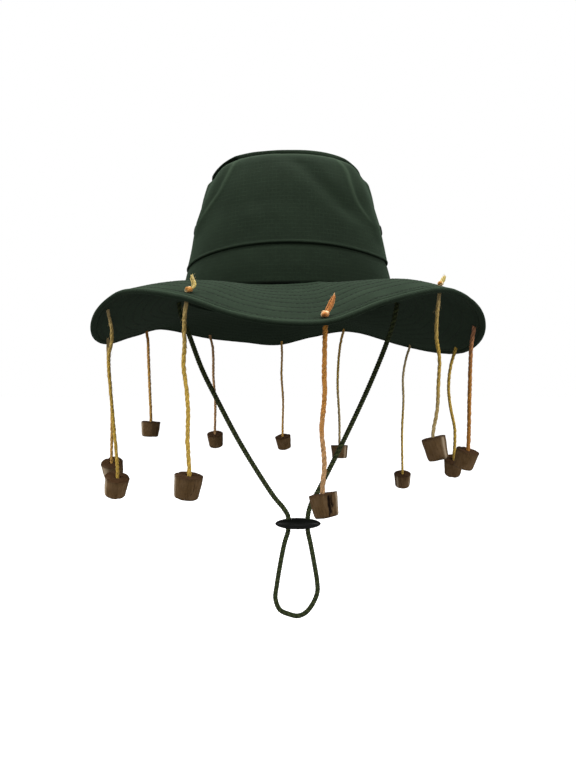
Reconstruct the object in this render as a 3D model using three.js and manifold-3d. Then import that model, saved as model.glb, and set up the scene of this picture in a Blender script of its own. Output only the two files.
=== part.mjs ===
// Cork hat: a ripstop bush hat with a waved brim, corks on strings, a chin cord and its toggle.
// Millimetres, +Z up. The origin is the middle of the head opening, where crown and brim meet.
// The front of the hat faces -Y, and +X is the wearer's left.
import * as THREE from "three";
import { mergeVertices } from "three/addons/utils/BufferGeometryUtils.js";
import Module from "manifold-3d";

const wasm = await Module();
wasm.setup();

// Head opening, measured inside the band
const headWidth = 173;
const headLength = 200;

// Gap that touching pieces keep
const seamGap = 0.3;

// Length of a cutter through one cloth
const cutterReach = 16;

// Crown
const crownHeight = 100;
const clothWall = 1.2;
const bandWall = 1.6;
const bandHeight = 29.5;
const bandSideLift = 2;
const tuckOverlap = 3;
const tuckBulge = 0.4;
const tipOverhang = 0.6;
const tipEdgeHeight = 3.2;
const tipRise = 6;
const tipWall = 1.4;

// Brim
const brimWidth = 80;
const brimWall = 2.2;
const brimSeam = 3.2;
const rimEdgeWidth = 5;
const rimEdgeThickness = 3.4;

// Side eyelets
const eyeletHeight = 58;
const eyeletAzimuth = 84;
const eyeletDiameter = 9;
const eyeletBarrel = 5.6;
const eyeletBore = 4.2;
const eyeletFlange = 0.9;
const eyeletSeat = 0.45;

// Strings, knots and corks
const stringDiameter = 2.9;
const stringClearance = 0.35;
const stringHoleInset = 9.5;
const stringTopDrop = 0.6;
const stringPlumb = 8;
const knotDiameter = 4.6;
const tailWidth = 3.8;
const tailThickness = 2.4;
const tailRoot = 0.77;
const corkTopDiameter = 17.3;
const corkBottomDiameter = 14.5;
const corkHeight = 15;
const corkHoleDepth = 9;
const corkApproach = 6;

// Chin cord and toggle
const chinCordDiameter = 4.2;
const cordClearance = 0.35;
const toggleLength = 38;
const toggleDepth = 14;
const toggleHeight = 7.4;
const toggleRound = 2.2;
const toggleHoleSpacing = 16.4;
const togglePlace = { x: 8.3, y: -14, z: -187 };

// How finely the forms are divided
const crownSteps = 48;
const brimSteps = 60;
const brimRings = 4;
const rimEdgeSides = 8;
const cordSides = 8;
const holeSides = 8;
const corkSides = 12;
const knotSides = 8;
const tailSides = 4;
const eyeletSides = 12;
const stepsInDiameters = 3;

// Outer face of the crown from the brim up: height as a share of crownHeight,
// width and depth as shares of the crown's own width and length at the brim
const crownSections = [
  { height: 0.0, width: 1.0, depth: 1.0 },
  { height: 0.12, width: 0.986, depth: 0.986 },
  { height: 0.215, width: 0.966, depth: 0.967 },
  { height: 0.27, width: 0.953, depth: 0.955 },
  { height: 0.42, width: 0.918, depth: 0.92 },
  { height: 0.567, width: 0.885, depth: 0.882 },
  { height: 0.771, width: 0.842, depth: 0.828 },
  { height: 0.928, width: 0.783, depth: 0.762 },
  { height: 1.0, width: 0.74, depth: 0.706 },
];

// Soft ridges and hollows of the crown. Each runs from one azimuth and height share to another,
// spreads over some degrees and pushes the cloth out (+) or in (-) by a share of half the head's width
const crownFolds = [
  { fromAzimuth: -49, fromHeight: 0.9, toAzimuth: -68, toHeight: 0.55, spread: 12, push: 0.018 },
  { fromAzimuth: 50, fromHeight: 0.9, toAzimuth: 69, toHeight: 0.52, spread: 12, push: 0.02 },
  { fromAzimuth: -62, fromHeight: 1.0, toAzimuth: -76, toHeight: 0.7, spread: 12, push: -0.018 },
  { fromAzimuth: 65, fromHeight: 1.0, toAzimuth: 80, toHeight: 0.7, spread: 12, push: -0.022 },
  { fromAzimuth: 6, fromHeight: 0.97, toAzimuth: 30, toHeight: 0.5, spread: 15, push: -0.016 },
  { fromAzimuth: 172, fromHeight: 0.97, toAzimuth: 196, toHeight: 0.5, spread: 18, push: -0.018 },
  { fromAzimuth: 132, fromHeight: 1.0, toAzimuth: 116, toHeight: 0.55, spread: 13, push: 0.016 },
  { fromAzimuth: -134, fromHeight: 1.0, toAzimuth: -118, toHeight: 0.55, spread: 13, push: 0.016 },
];
const foldFade = 0.35;

// Levels of the band: share of its height, how far it is set in as a share of the full set-in under the tuck,
// and whether its inner face bends there too
const bandLevels = [
  { share: 0, inset: 0.1, inner: true },
  { share: 0.5, inset: 0.25, inner: false },
  { share: 0.78, inset: 0.5, inner: true },
  { share: 0.87, inset: 1, inner: false },
  { share: 1, inset: 1, inner: true },
];

// Profile of the tip's outer face from its edge to its middle: reach as a share of the tip's half width,
// rise as a share of tipRise above the edge roll
const tipProfile = [
  { reach: 0.9, rise: 0.3 },
  { reach: 0.7, rise: 0.66 },
  { reach: 0.38, rise: 0.92 },
];

// Profile of the tip's rolled edge from its foot up: rise as a share of tipEdgeHeight,
// inset from the overhanging edge as a share of tipWall
const tipEdgeProfile = [
  { rise: 0, inset: 1.6 },
  { rise: 0, inset: 0.25 },
  { rise: 0.4, inset: 0 },
  { rise: 0.95, inset: 0.7 },
];

// The brim's wave around the hat: the rim's fall below the seam as a share of the cloth from seam to rim,
// the arch of the cloth between them as a share of the same, and how much of its plan width it keeps
const brimWave = [
  { azimuth: -176, fall: 0.32, arch: 0.01, reach: 1 },
  { azimuth: -163, fall: 0.285, arch: 0.01, reach: 1 },
  { azimuth: -150, fall: 0.25, arch: 0.02, reach: 1 },
  { azimuth: -129, fall: 0.165, arch: 0.03, reach: 1 },
  { azimuth: -114, fall: 0.3, arch: 0.02, reach: 1 },
  { azimuth: -92, fall: 0.455, arch: 0.02, reach: 1 },
  { azimuth: -72, fall: 0.42, arch: 0, reach: 0.995 },
  { azimuth: -50, fall: 0.22, arch: 0.015, reach: 0.965 },
  { azimuth: -38, fall: 0.155, arch: 0.055, reach: 0.96 },
  { azimuth: -22, fall: 0.25, arch: 0.05, reach: 0.985 },
  { azimuth: -10, fall: 0.405, arch: 0.01, reach: 1 },
  { azimuth: 0, fall: 0.465, arch: 0, reach: 1 },
  { azimuth: 9, fall: 0.445, arch: 0, reach: 1 },
  { azimuth: 20, fall: 0.29, arch: 0.04, reach: 0.985 },
  { azimuth: 36, fall: 0.152, arch: 0.06, reach: 0.965 },
  { azimuth: 51, fall: 0.228, arch: 0.075, reach: 0.98 },
  { azimuth: 72, fall: 0.44, arch: 0.05, reach: 1 },
  { azimuth: 92, fall: 0.55, arch: 0, reach: 1 },
  { azimuth: 114, fall: 0.51, arch: 0, reach: 1 },
  { azimuth: 134, fall: 0.375, arch: 0.02, reach: 1 },
  { azimuth: 157, fall: 0.132, arch: 0.03, reach: 1 },
  { azimuth: 171, fall: 0.2, arch: 0.01, reach: 1 },
];

// One row a string: the azimuth of its hole; its cork, with the lean of the foot towards +X in degrees and
// its size as shares of the cork sizes above; the knot's tail, with its length, the azimuth that it leans
// towards and how far; and the string's route. Route points are x and y from the hole and the drop below
// the brim's top face. The last is the cork's mouth.
const strings = [
  {
    name: "01", azimuth: -83,
    cork: { lean: 8, width: 0.96, height: 1.03 }, tail: { length: 9, turn: 60, lean: 30 },
    route: [[0.4, 0, 28.6], [2.5, 1, 53.4], [2.9, 1, 78], [3.3, 0, 103.6]],
  },
  {
    name: "02", azimuth: -54,
    cork: { lean: -8, width: 0.99, height: 0.97 }, tail: { length: 8, turn: 100, lean: 35 },
    route: [[3, 0, 19.6], [0.8, 0, 33.6], [2.1, -1, 54.7], [4.2, -1, 79.2], [6.3, 0, 119]],
  },
  {
    name: "03", azimuth: -118,
    cork: { lean: 0, width: 1.06, height: 0.97 }, tail: { length: 9, turn: 20, lean: 30 },
    route: [[2, 1, 40.3], [3.2, 0, 64.8], [4.1, 0, 90.7]],
  },
  {
    name: "04", azimuth: -22,
    cork: { lean: -7, width: 1, height: 0.95 }, tail: { length: 10, turn: 110, lean: 32 },
    route: [[-1.6, 0, 23], [-2.6, 1, 44.5], [-0.6, 1, 57], [0.7, 0, 71.3], [0.4, 0, 89.4], [1, 0, 110.5]],
  },
  {
    name: "05", azimuth: -148.5,
    cork: { lean: 0, width: 1.05, height: 1.16 }, tail: { length: 8, turn: 170, lean: 25 },
    route: [[4, 0, 21], [3.8, 0, 50.7], [5.9, 1, 72.5], [5.4, 0, 108.4]],
  },
  {
    name: "06", azimuth: -177.5,
    cork: { lean: 8, width: 1, height: 1.1 }, tail: { length: 9, turn: 80, lean: 30 },
    route: [[0.4, 0, 17.5], [-0.2, 0, 40], [1.5, -1, 68.2], [1.5, 0, 108.3]],
  },
  {
    name: "07", azimuth: 8,
    cork: { lean: 9, width: 1, height: 0.93 }, tail: { length: 15, turn: 118, lean: 30 },
    route: [[-0.7, 0, 26], [-0.7, 1, 49.7], [-2.7, 1, 68.6], [-0.1, 0, 86.5], [-2.1, 0, 104.8]],
  },
  {
    name: "08", azimuth: 158,
    cork: { lean: 0, width: 1.04, height: 0.97 }, tail: { length: 8, turn: -40, lean: 30 },
    route: [[-5.4, 0, 30.9], [-7, 0, 64.3], [-3.6, 1, 103], [-3.6, 0, 129.9]],
  },
  {
    name: "09", azimuth: 126.5,
    cork: { lean: 0, width: 0.98, height: 1.04 }, tail: { length: 10, turn: 60, lean: 25 },
    route: [[-6.6, 0, 32.8], [-6.1, -1, 58], [-7.6, 0, 98.4], [-7.7, 0, 131.7]],
  },
  {
    name: "10", azimuth: 37.5,
    cork: { lean: 16, width: 0.96, height: 1 }, tail: { length: 10, turn: 100, lean: 22 },
    route: [[-1.8, 0, 20.4], [-1.8, 0, 36.5], [0.2, 0, 48.5], [-0.2, 1, 70], [-3.4, 0, 96.7]],
  },
  {
    name: "11", azimuth: 93,
    cork: { lean: 3, width: 0.9, height: 1.14 }, tail: { length: 9, turn: 150, lean: 30 },
    route: [[-4.8, 0, 22], [-5.9, 1, 43.2], [-0.7, 1, 73.6], [-2.1, 0, 98.8]],
  },
  {
    name: "12", azimuth: 68,
    cork: { lean: -17, width: 1, height: 1 }, tail: { length: 9, turn: -20, lean: 28 },
    route: [[-2.2, 0, 27.3], [-3.1, -1, 57.6], [-4.6, 0, 94.8]],
  },
];

// The chin cord's route from the wearer's right, through the toggle, round its loop and up to the left
const chinCordRoute = [
  [-91, -14, -4.6],
  [-88.6, -14, -15],
  [-82.6, -14.5, -29],
  [-71.2, -15, -59],
  [-58.3, -15, -85],
  [-39.1, -15, -121],
  [-12, -14.5, -164],
  [-3.5, -14, -174.5],
  [0.1, -14, -181],
  [0.1, -14, -187],
  [0.1, -14, -193],
  [-2.6, -14, -202],
  [-5.6, -14.5, -216],
  [-9.3, -15, -238],
  [-10.4, -15.5, -249],
  [-6.6, -16, -258],
  [0.8, -16, -261.5],
  [8, -16, -263],
  [14.4, -16, -260.4],
  [20, -15.5, -254],
  [24.3, -15, -244],
  [24.2, -15, -235],
  [21.6, -14.5, -218.9],
  [18.6, -14, -203],
  [16.5, -14, -193],
  [16.5, -14, -187],
  [16.5, -14, -181],
  [18.6, -14, -172],
  [25, -14.5, -159.8],
  [40, -15, -130.3],
  [58.3, -15, -92.4],
  [69.9, -15, -66.6],
  [82, -14.5, -36.7],
  [87.6, -14, -20],
  [91, -14, -4.8],
];

// Materials
const cloth = new THREE.MeshStandardMaterial({ color: 0x2c3d31, roughness: 0.88, metalness: 0 });
const clothEdge = new THREE.MeshStandardMaterial({ color: 0x314236, roughness: 0.88, metalness: 0 });
const eyeletMetal = new THREE.MeshStandardMaterial({ color: 0x1b1c1b, roughness: 0.45, metalness: 0.7 });
const yellowYarn = new THREE.MeshStandardMaterial({ color: 0xc0943a, roughness: 0.8, metalness: 0 });
const orangeYarn = new THREE.MeshStandardMaterial({ color: 0xb0662e, roughness: 0.8, metalness: 0 });
const corkWood = new THREE.MeshStandardMaterial({ color: 0x59422d, roughness: 0.9, metalness: 0 });
const braid = new THREE.MeshStandardMaterial({ color: 0x2a3423, roughness: 0.75, metalness: 0 });
const togglePlastic = new THREE.MeshStandardMaterial({ color: 0x141414, roughness: 0.35, metalness: 0 });
const orangeStrings = ["05", "06", "07", "12"];

// Sizes worked out from the driving ones
const baseHalfWidth = headWidth / 2 + bandWall;
const baseHalfLength = headLength / 2 + bandWall;
const brimCloth = brimWidth - brimSeam;
const stringHoleDiameter = stringDiameter + 2 * stringClearance;

function radians(degrees) {
  return (degrees * Math.PI) / 180;
}

// A point beside the head opening: out is measured square to its oval, azimuth from the front to +X
function besideOpening(azimuth, out, z) {
  const side = Math.sin(radians(azimuth));
  const front = -Math.cos(radians(azimuth));
  const edge = new THREE.Vector3((headWidth / 2) * side, (headLength / 2) * front, z);
  const outward = new THREE.Vector3(side / headWidth, front / headLength, 0).normalize();
  return edge.addScaledVector(outward, out);
}

// Two neighbouring rows of a table round a value, and how far the value lies between them
function between(rows, key, value) {
  const next = rows.findIndex((row) => row[key] >= value);
  const upper = next === -1 ? rows.length - 1 : Math.max(1, next);
  const low = rows[upper - 1];
  const high = rows[upper];
  return { low, high, share: (value - low[key]) / (high[key] - low[key]) };
}

// One column of the brim's wave at an azimuth, a smooth closed curve through the table's rows
function waveAt(azimuth, column) {
  const count = brimWave.length;
  const first = brimWave[0].azimuth;
  const turned = THREE.MathUtils.euclideanModulo(azimuth - first, 360) + first;
  const row = (index) => {
    const turns = Math.floor(index / count);
    const entry = brimWave[index - turns * count];
    return { at: entry.azimuth + 360 * turns, value: entry[column] };
  };
  const slope = (index) => {
    const before = row(index - 1);
    const after = row(index + 1);
    return (after.value - before.value) / (after.at - before.at);
  };
  const next = brimWave.findIndex((entry) => entry.azimuth > turned);
  const low = next === -1 ? count - 1 : next - 1;
  const start = row(low);
  const end = row(low + 1);
  const span = end.at - start.at;
  const t = (turned - start.at) / span;
  const blend = 3 * t ** 2 - 2 * t ** 3;
  const leave = (t ** 3 - 2 * t ** 2 + t) * span * slope(low);
  const arrive = (t ** 3 - t ** 2) * span * slope(low + 1);
  return start.value + (end.value - start.value) * blend + leave + arrive;
}

// The brim's top face, along measured over the cloth from the head opening
function brimTop(azimuth, along) {
  const fall = waveAt(azimuth, "fall");
  const t = Math.max(0, along - brimSeam) / brimCloth;
  const plan = brimCloth * t * Math.sqrt(1 - fall * fall) * waveAt(azimuth, "reach");
  const drop = brimCloth * (fall * t - 4 * waveAt(azimuth, "arch") * t * (1 - t));
  return besideOpening(azimuth, Math.min(along, brimSeam) + plan, -drop);
}

// The brim's top point with the directions out along the cloth and square to it
function brimFrame(azimuth, along) {
  const reach = 0.5;
  const turn = 0.5;
  const top = brimTop(azimuth, along);
  const inner = brimTop(azimuth, Math.max(0, along - reach));
  const outward = brimTop(azimuth, along + reach).sub(inner).normalize();
  const round = brimTop(azimuth + turn, along).sub(brimTop(azimuth - turn, along));
  const normal = new THREE.Vector3().crossVectors(outward, round).normalize();
  return { top, outward, normal };
}

// Sum of the crown's ridges and hollows at an azimuth and height share, in millimetres.
// Each fades out over foldFade of its own length past both ends
function foldPush(azimuth, height) {
  let push = 0;
  for (const fold of crownFolds) {
    const along = (fold.fromHeight - height) / (fold.fromHeight - fold.toHeight);
    const past = Math.max(-along, along - 1, 0);
    const fade = Math.max(0, 1 - past / foldFade);
    const middle = fold.fromAzimuth + (fold.toAzimuth - fold.fromAzimuth) * along;
    const away = THREE.MathUtils.euclideanModulo(azimuth - middle + 180, 360) - 180;
    push += fold.push * fade * Math.exp(-((away / fold.spread) ** 2));
  }
  return push * (headWidth / 2);
}

// The crown's outer face, moved in by inset
function crownFace(azimuth, z, inset) {
  const height = z / crownHeight;
  const { low, high, share } = between(crownSections, "height", height);
  const width = low.width + (high.width - low.width) * share;
  const depth = low.depth + (high.depth - low.depth) * share;
  const side = Math.sin(radians(azimuth));
  const front = -Math.cos(radians(azimuth));
  const halfWidth = baseHalfWidth * width;
  const halfLength = baseHalfLength * depth;
  const outward = new THREE.Vector3(side / halfWidth, front / halfLength, 0).normalize();
  const face = new THREE.Vector3(halfWidth * side, halfLength * front, z);
  return face.addScaledVector(outward, foldPush(azimuth, height) - inset);
}

// Top of the band, higher at the sides than at front and back
function bandTop(azimuth) {
  return bandHeight + bandSideLift * Math.sin(radians(azimuth)) ** 4;
}

function ring(steps, pointAt) {
  return Array.from({ length: steps }, (_, step) => pointAt((360 * step) / steps));
}

// A closed surface over rings of points. The rings run counterclockwise round the section seen with the
// outside to the right. They join end to end, or close on the poles when these are given.
function latticeGeometry(rings, poles) {
  const steps = rings[0].length;
  const points = rings.flat();
  const index = [];
  const at = (level, step) => (level % rings.length) * steps + (step % steps);
  const bands = poles ? rings.length - 1 : rings.length;
  for (let level = 0; level < bands; level += 1) {
    for (let step = 0; step < steps; step += 1) {
      index.push(at(level, step), at(level, step + 1), at(level + 1, step + 1));
      index.push(at(level, step), at(level + 1, step + 1), at(level + 1, step));
    }
  }
  if (poles) {
    const first = points.push(poles.first) - 1;
    const last = points.push(poles.last) - 1;
    for (let step = 0; step < steps; step += 1) {
      index.push(first, at(0, step + 1), at(0, step));
      index.push(at(rings.length - 1, step), at(rings.length - 1, step + 1), last);
    }
  }
  const geometry = new THREE.BufferGeometry().setFromPoints(points);
  geometry.setIndex(index);
  return geometry;
}

// Solids for joining and cutting
function toSolid(geometry) {
  const bare = geometry.clone();
  bare.deleteAttribute("normal");
  bare.deleteAttribute("uv");
  const merged = mergeVertices(bare, 1e-4);
  const mesh = new wasm.Mesh({
    numProp: 3,
    vertProperties: new Float32Array(merged.attributes.position.array),
    triVerts: new Uint32Array(merged.index.array),
  });
  return new wasm.Manifold(mesh);
}

function toGeometry(solid) {
  const mesh = solid.getMesh();
  const geometry = new THREE.BufferGeometry();
  geometry.setAttribute("position", new THREE.BufferAttribute(new Float32Array(mesh.vertProperties), 3));
  geometry.setIndex(new THREE.BufferAttribute(new Uint32Array(mesh.triVerts), 1));
  return geometry;
}

function roundShape(radius, sides) {
  const corners = [];
  for (let side = 0; side < sides; side += 1) {
    const angle = (2 * Math.PI * side) / sides;
    corners.push(new THREE.Vector2(radius * Math.cos(angle), radius * Math.sin(angle)));
  }
  return new THREE.Shape(corners);
}

function tubeGeometry(points, diameter) {
  const path = new THREE.CatmullRomCurve3(points);
  const steps = Math.ceil(path.getLength() / (stepsInDiameters * diameter));
  return new THREE.ExtrudeGeometry(roundShape(diameter / 2, cordSides), { extrudePath: path, steps });
}

// A straight round cutter standing on a point, along a direction
function cutter(diameter, length, place, direction) {
  const rod = new THREE.CylinderGeometry(diameter / 2, diameter / 2, length, holeSides);
  const turn = new THREE.Quaternion().setFromUnitVectors(new THREE.Vector3(0, 1, 0), direction);
  rod.applyQuaternion(turn);
  rod.translate(place.x, place.y, place.z);
  return toSolid(rod);
}

// Crown side, a tapering wall whose foot is tucked over the band
function crownSideGeometry() {
  const tuckShares = [0, 0.035];
  const wallShares = [0.07, 0.25, 0.45, 0.6, 0.8, 1];
  const row = (share, inset) =>
    ring(crownSteps, (azimuth) => {
      const foot = bandTop(azimuth) - tuckOverlap;
      return crownFace(azimuth, foot + (crownHeight - foot) * share, inset);
    });
  const tuck = tuckShares.map((share) => row(share, -tuckBulge));
  const outside = wallShares.map((share) => row(share, 0));
  const inside = [0, ...wallShares.slice(1)].map((share) => row(share, clothWall));
  const wall = toSolid(latticeGeometry([...tuck, ...outside, ...inside.reverse()]));
  return toGeometry(eyelets.reduce((solid, eyelet) => solid.subtract(eyeletCutter(eyelet)), wall));
}

// Eyelets: a flange on the crown's face and a barrel through the wall
const eyelets = [
  { name: "eyelet_left", azimuth: eyeletAzimuth },
  { name: "eyelet_right", azimuth: -eyeletAzimuth },
];

function eyeletFrame(azimuth) {
  const turn = 2;
  const rise = 2;
  const face = crownFace(azimuth, eyeletHeight, 0);
  const round = crownFace(azimuth + turn, eyeletHeight, 0).sub(crownFace(azimuth - turn, eyeletHeight, 0));
  const up = crownFace(azimuth, eyeletHeight + rise, 0).sub(crownFace(azimuth, eyeletHeight - rise, 0));
  return { face, outward: new THREE.Vector3().crossVectors(round, up).normalize() };
}

function eyeletCutter({ azimuth }) {
  const { face, outward } = eyeletFrame(azimuth);
  return cutter(eyeletBarrel + 2 * seamGap, cutterReach, face, outward);
}

function eyeletGeometry() {
  const bore = eyeletBore / 2;
  const barrel = eyeletBarrel / 2;
  const rim = eyeletDiameter / 2;
  const back = -clothWall - seamGap;
  const front = eyeletSeat + eyeletFlange;
  const profile = [
    [bore, back],
    [barrel, back],
    [barrel, eyeletSeat],
    [rim, eyeletSeat],
    [rim - eyeletFlange / 2, front],
    [bore, front],
    [bore, back],
  ];
  return new THREE.LatheGeometry(profile.map(([x, y]) => new THREE.Vector2(x, y)), eyeletSides);
}

// Band, the wall that the brim is sewn to, set in under the crown's tuck at its top
function bandGeometry() {
  const setIn = clothWall + seamGap;
  const row = (level, wall) =>
    ring(crownSteps, (azimuth) => {
      const z = seamGap + (bandTop(azimuth) - seamGap) * level.share;
      return crownFace(azimuth, z, setIn * level.inset + wall);
    });
  const outside = bandLevels.map((level) => row(level, 0));
  const inside = bandLevels.filter((level) => level.inner).map((level) => row(level, bandWall));
  return latticeGeometry([...outside, ...inside.reverse()]);
}

// Tip, the crown's oval top panel with a rolled edge
function tipGeometry() {
  const foot = crownHeight + seamGap;
  const roll = foot + tipEdgeHeight;
  const row = (reach, inset, z) =>
    ring(crownSteps, (azimuth) => {
      const point = crownFace(azimuth, crownHeight, inset - tipOverhang);
      return new THREE.Vector3(point.x * reach, point.y * reach, z);
    });
  const over = tipProfile.map(({ reach, rise }) => row(reach, 0, roll + tipRise * rise));
  const inner = tipProfile.slice(0, 2);
  const under = inner.map(({ reach, rise }) => row(reach, tipWall, roll + tipRise * rise - tipWall));
  const edge = tipEdgeProfile.map(({ rise, inset }) => row(1, tipWall * inset, foot + tipEdgeHeight * rise));
  const poles = {
    first: new THREE.Vector3(0, 0, roll + tipRise - tipWall),
    last: new THREE.Vector3(0, 0, roll + tipRise),
  };
  return latticeGeometry([...under.reverse(), ...edge, ...over], poles);
}

// Brim, a waved sheet round the head opening with a hole for each string
function brimGeometry() {
  const outer = brimWidth - rimEdgeWidth - seamGap;
  const reaches = [0, brimSeam];
  for (let row = 1; row <= brimRings; row += 1) {
    reaches.push(brimSeam + ((outer - brimSeam) * row) / brimRings);
  }
  const top = reaches.map((along) => ring(brimSteps, (azimuth) => brimTop(azimuth, along)));
  const under = reaches.map((along) =>
    ring(brimSteps, (azimuth) => {
      const frame = brimFrame(azimuth, along);
      return frame.top.clone().addScaledVector(frame.normal, -brimWall);
    }),
  );
  const sheet = toSolid(latticeGeometry([...under, ...top.reverse()]));
  return toGeometry(strings.reduce((solid, string) => solid.subtract(stringHoleCutter(string)), sheet));
}

function stringHoleCutter({ azimuth }) {
  const place = brimTop(azimuth, brimWidth - stringHoleInset);
  return cutter(stringHoleDiameter, cutterReach, place, new THREE.Vector3(0, 0, 1));
}

// Rolled edge of the brim, a fat rounded hem
function rimEdgeGeometry() {
  const middle = brimWidth - rimEdgeWidth / 2;
  const rings = [];
  for (let side = 0; side < rimEdgeSides; side += 1) {
    const angle = (2 * Math.PI * side) / rimEdgeSides;
    rings.push(
      ring(brimSteps, (azimuth) => {
        const { top, outward, normal } = brimFrame(azimuth, middle);
        return top
          .clone()
          .addScaledVector(normal, (rimEdgeThickness / 2) * Math.sin(angle) - brimWall / 2)
          .addScaledVector(outward, (rimEdgeWidth / 2) * Math.cos(angle));
      }),
    );
  }
  return latticeGeometry(rings);
}

// Strings, knots and corks
function corkAxis({ cork }) {
  return new THREE.Vector3(Math.sin(radians(cork.lean)), 0, -Math.cos(radians(cork.lean)));
}

function corkMouth(string) {
  const [x, y, drop] = string.route[string.route.length - 1];
  return brimTop(string.azimuth, brimWidth - stringHoleInset).add(new THREE.Vector3(x, y, -drop));
}

function stringGeometry(string) {
  const hole = brimTop(string.azimuth, brimWidth - stringHoleInset);
  const below = ([x, y, drop]) => hole.clone().add(new THREE.Vector3(x, y, -drop));
  const mouth = corkMouth(string);
  const axis = corkAxis(string);
  const points = [
    below([0, 0, stringTopDrop]),
    below([0, 0, stringPlumb]),
    ...string.route.slice(0, -1).map(below),
    mouth.clone().addScaledVector(axis, -corkApproach),
    mouth.clone(),
    mouth.clone().addScaledVector(axis, corkHoleDepth - seamGap),
  ];
  return tubeGeometry(points, stringDiameter);
}

function corkGeometry({ cork }) {
  const top = (corkTopDiameter / 2) * cork.width;
  const bottom = (corkBottomDiameter / 2) * cork.width;
  const height = corkHeight * cork.height;
  const hole = stringDiameter / 2 + stringClearance;
  const profile = [
    [0, -height],
    [bottom, -height],
    [top, 0],
    [hole, 0],
    [hole, -corkHoleDepth],
    [0, -corkHoleDepth],
  ];
  return new THREE.LatheGeometry(profile.map(([x, y]) => new THREE.Vector2(x, y)), corkSides);
}

function knotGeometry({ tail }) {
  const ball = new THREE.SphereGeometry(knotDiameter / 2, knotSides, knotSides / 2);
  const end = new THREE.CylinderGeometry(tailWidth / 2, (tailWidth * tailRoot) / 2, tail.length, tailSides);
  end.scale(1, 1, tailThickness / tailWidth);
  end.translate(0, tail.length / 2, 0);
  end.rotateX(Math.PI / 2);
  end.applyQuaternion(leaningFromUp(tail.turn, tail.lean));
  return toGeometry(toSolid(ball).add(toSolid(end)));
}

// The turn that leans +Z over towards an azimuth
function leaningFromUp(turn, lean) {
  const side = radians(turn);
  const tilt = radians(lean);
  const direction = new THREE.Vector3(
    Math.sin(tilt) * Math.sin(side),
    -Math.sin(tilt) * Math.cos(side),
    Math.cos(tilt),
  );
  return new THREE.Quaternion().setFromUnitVectors(new THREE.Vector3(0, 0, 1), direction);
}

// Chin cord and its toggle
function chinCordGeometry() {
  const points = chinCordRoute.map(([x, y, z]) => new THREE.Vector3(x, y, z));
  return tubeGeometry(points, chinCordDiameter);
}

function toggleGeometry() {
  const shape = new THREE.Shape();
  shape.absellipse(0, 0, toggleLength / 2 - toggleRound, toggleDepth / 2 - toggleRound, 0, 2 * Math.PI);
  const depth = toggleHeight - 2 * toggleRound;
  const block = new THREE.ExtrudeGeometry(shape, {
    depth,
    curveSegments: 7,
    bevelSize: toggleRound,
    bevelThickness: toggleRound,
    bevelSegments: 2,
  });
  block.translate(0, 0, -depth / 2);
  const up = new THREE.Vector3(0, 0, 1);
  const bore = chinCordDiameter + 2 * cordClearance;
  const sides = [-1, 1];
  const holes = sides.map((side) =>
    cutter(bore, 2 * toggleHeight, new THREE.Vector3((side * toggleHoleSpacing) / 2, 0, 0), up),
  );
  return toGeometry(holes.reduce((solid, hole) => solid.subtract(hole), toSolid(block)));
}

// Scene graph
const hat = new THREE.Group();

function place(name, geometry, material, parent = hat) {
  const mesh = new THREE.Mesh(geometry, material);
  mesh.name = name;
  parent.add(mesh);
  return mesh;
}

const crown = new THREE.Group();
hat.add(crown);
place("crown_tip", tipGeometry(), cloth, crown);
place("crown_side", crownSideGeometry(), cloth, crown);
place("hat_band", bandGeometry(), cloth, crown);
for (const { name, azimuth } of eyelets) {
  const { face, outward } = eyeletFrame(azimuth);
  const mesh = place(name, eyeletGeometry(), eyeletMetal, crown);
  mesh.quaternion.setFromUnitVectors(new THREE.Vector3(0, 1, 0), outward);
  mesh.position.copy(face);
}

place("brim", brimGeometry(), cloth);
place("brim_edge", rimEdgeGeometry(), clothEdge);

for (const string of strings) {
  const yarn = orangeStrings.includes(string.name) ? orangeYarn : yellowYarn;
  place(`string_${string.name}`, stringGeometry(string), yarn);

  const knot = place(`knot_${string.name}`, knotGeometry(string), yarn);
  const { top, normal } = brimFrame(string.azimuth, brimWidth - stringHoleInset);
  knot.position.copy(top).addScaledVector(normal, knotDiameter / 2 + seamGap);

  const cork = place(`cork_${string.name}`, corkGeometry(string), corkWood);
  cork.quaternion.setFromUnitVectors(new THREE.Vector3(0, -1, 0), corkAxis(string));
  cork.position.copy(corkMouth(string));
}

place("chin_cord", chinCordGeometry(), braid);
const toggle = place("toggle", toggleGeometry(), togglePlastic);
toggle.position.set(togglePlace.x, togglePlace.y, togglePlace.z);

export default hat;
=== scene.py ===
# Cork hat: a ripstop bush hat with a waved brim, corks on strings, a chin cord and its toggle.
# Metres, +Z up, the front towards -Y and the hat's own left towards +X. The origin is the middle of
# the head opening, where crown and brim meet.
import functools
import math
import random

import bpy
from mathutils import Matrix, Vector, noise


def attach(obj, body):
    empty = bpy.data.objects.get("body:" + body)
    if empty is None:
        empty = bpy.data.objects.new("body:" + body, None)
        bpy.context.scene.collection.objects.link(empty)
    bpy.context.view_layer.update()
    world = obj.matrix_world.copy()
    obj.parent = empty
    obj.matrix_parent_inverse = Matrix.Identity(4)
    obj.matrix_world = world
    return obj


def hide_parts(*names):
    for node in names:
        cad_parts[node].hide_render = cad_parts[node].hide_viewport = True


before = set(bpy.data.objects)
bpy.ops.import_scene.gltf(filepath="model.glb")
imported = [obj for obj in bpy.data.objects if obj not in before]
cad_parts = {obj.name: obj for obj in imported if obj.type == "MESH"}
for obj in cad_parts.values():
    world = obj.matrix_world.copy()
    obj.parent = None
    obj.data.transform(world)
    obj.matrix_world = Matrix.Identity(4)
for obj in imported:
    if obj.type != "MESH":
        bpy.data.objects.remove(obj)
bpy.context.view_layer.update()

MM = 0.001

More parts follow.
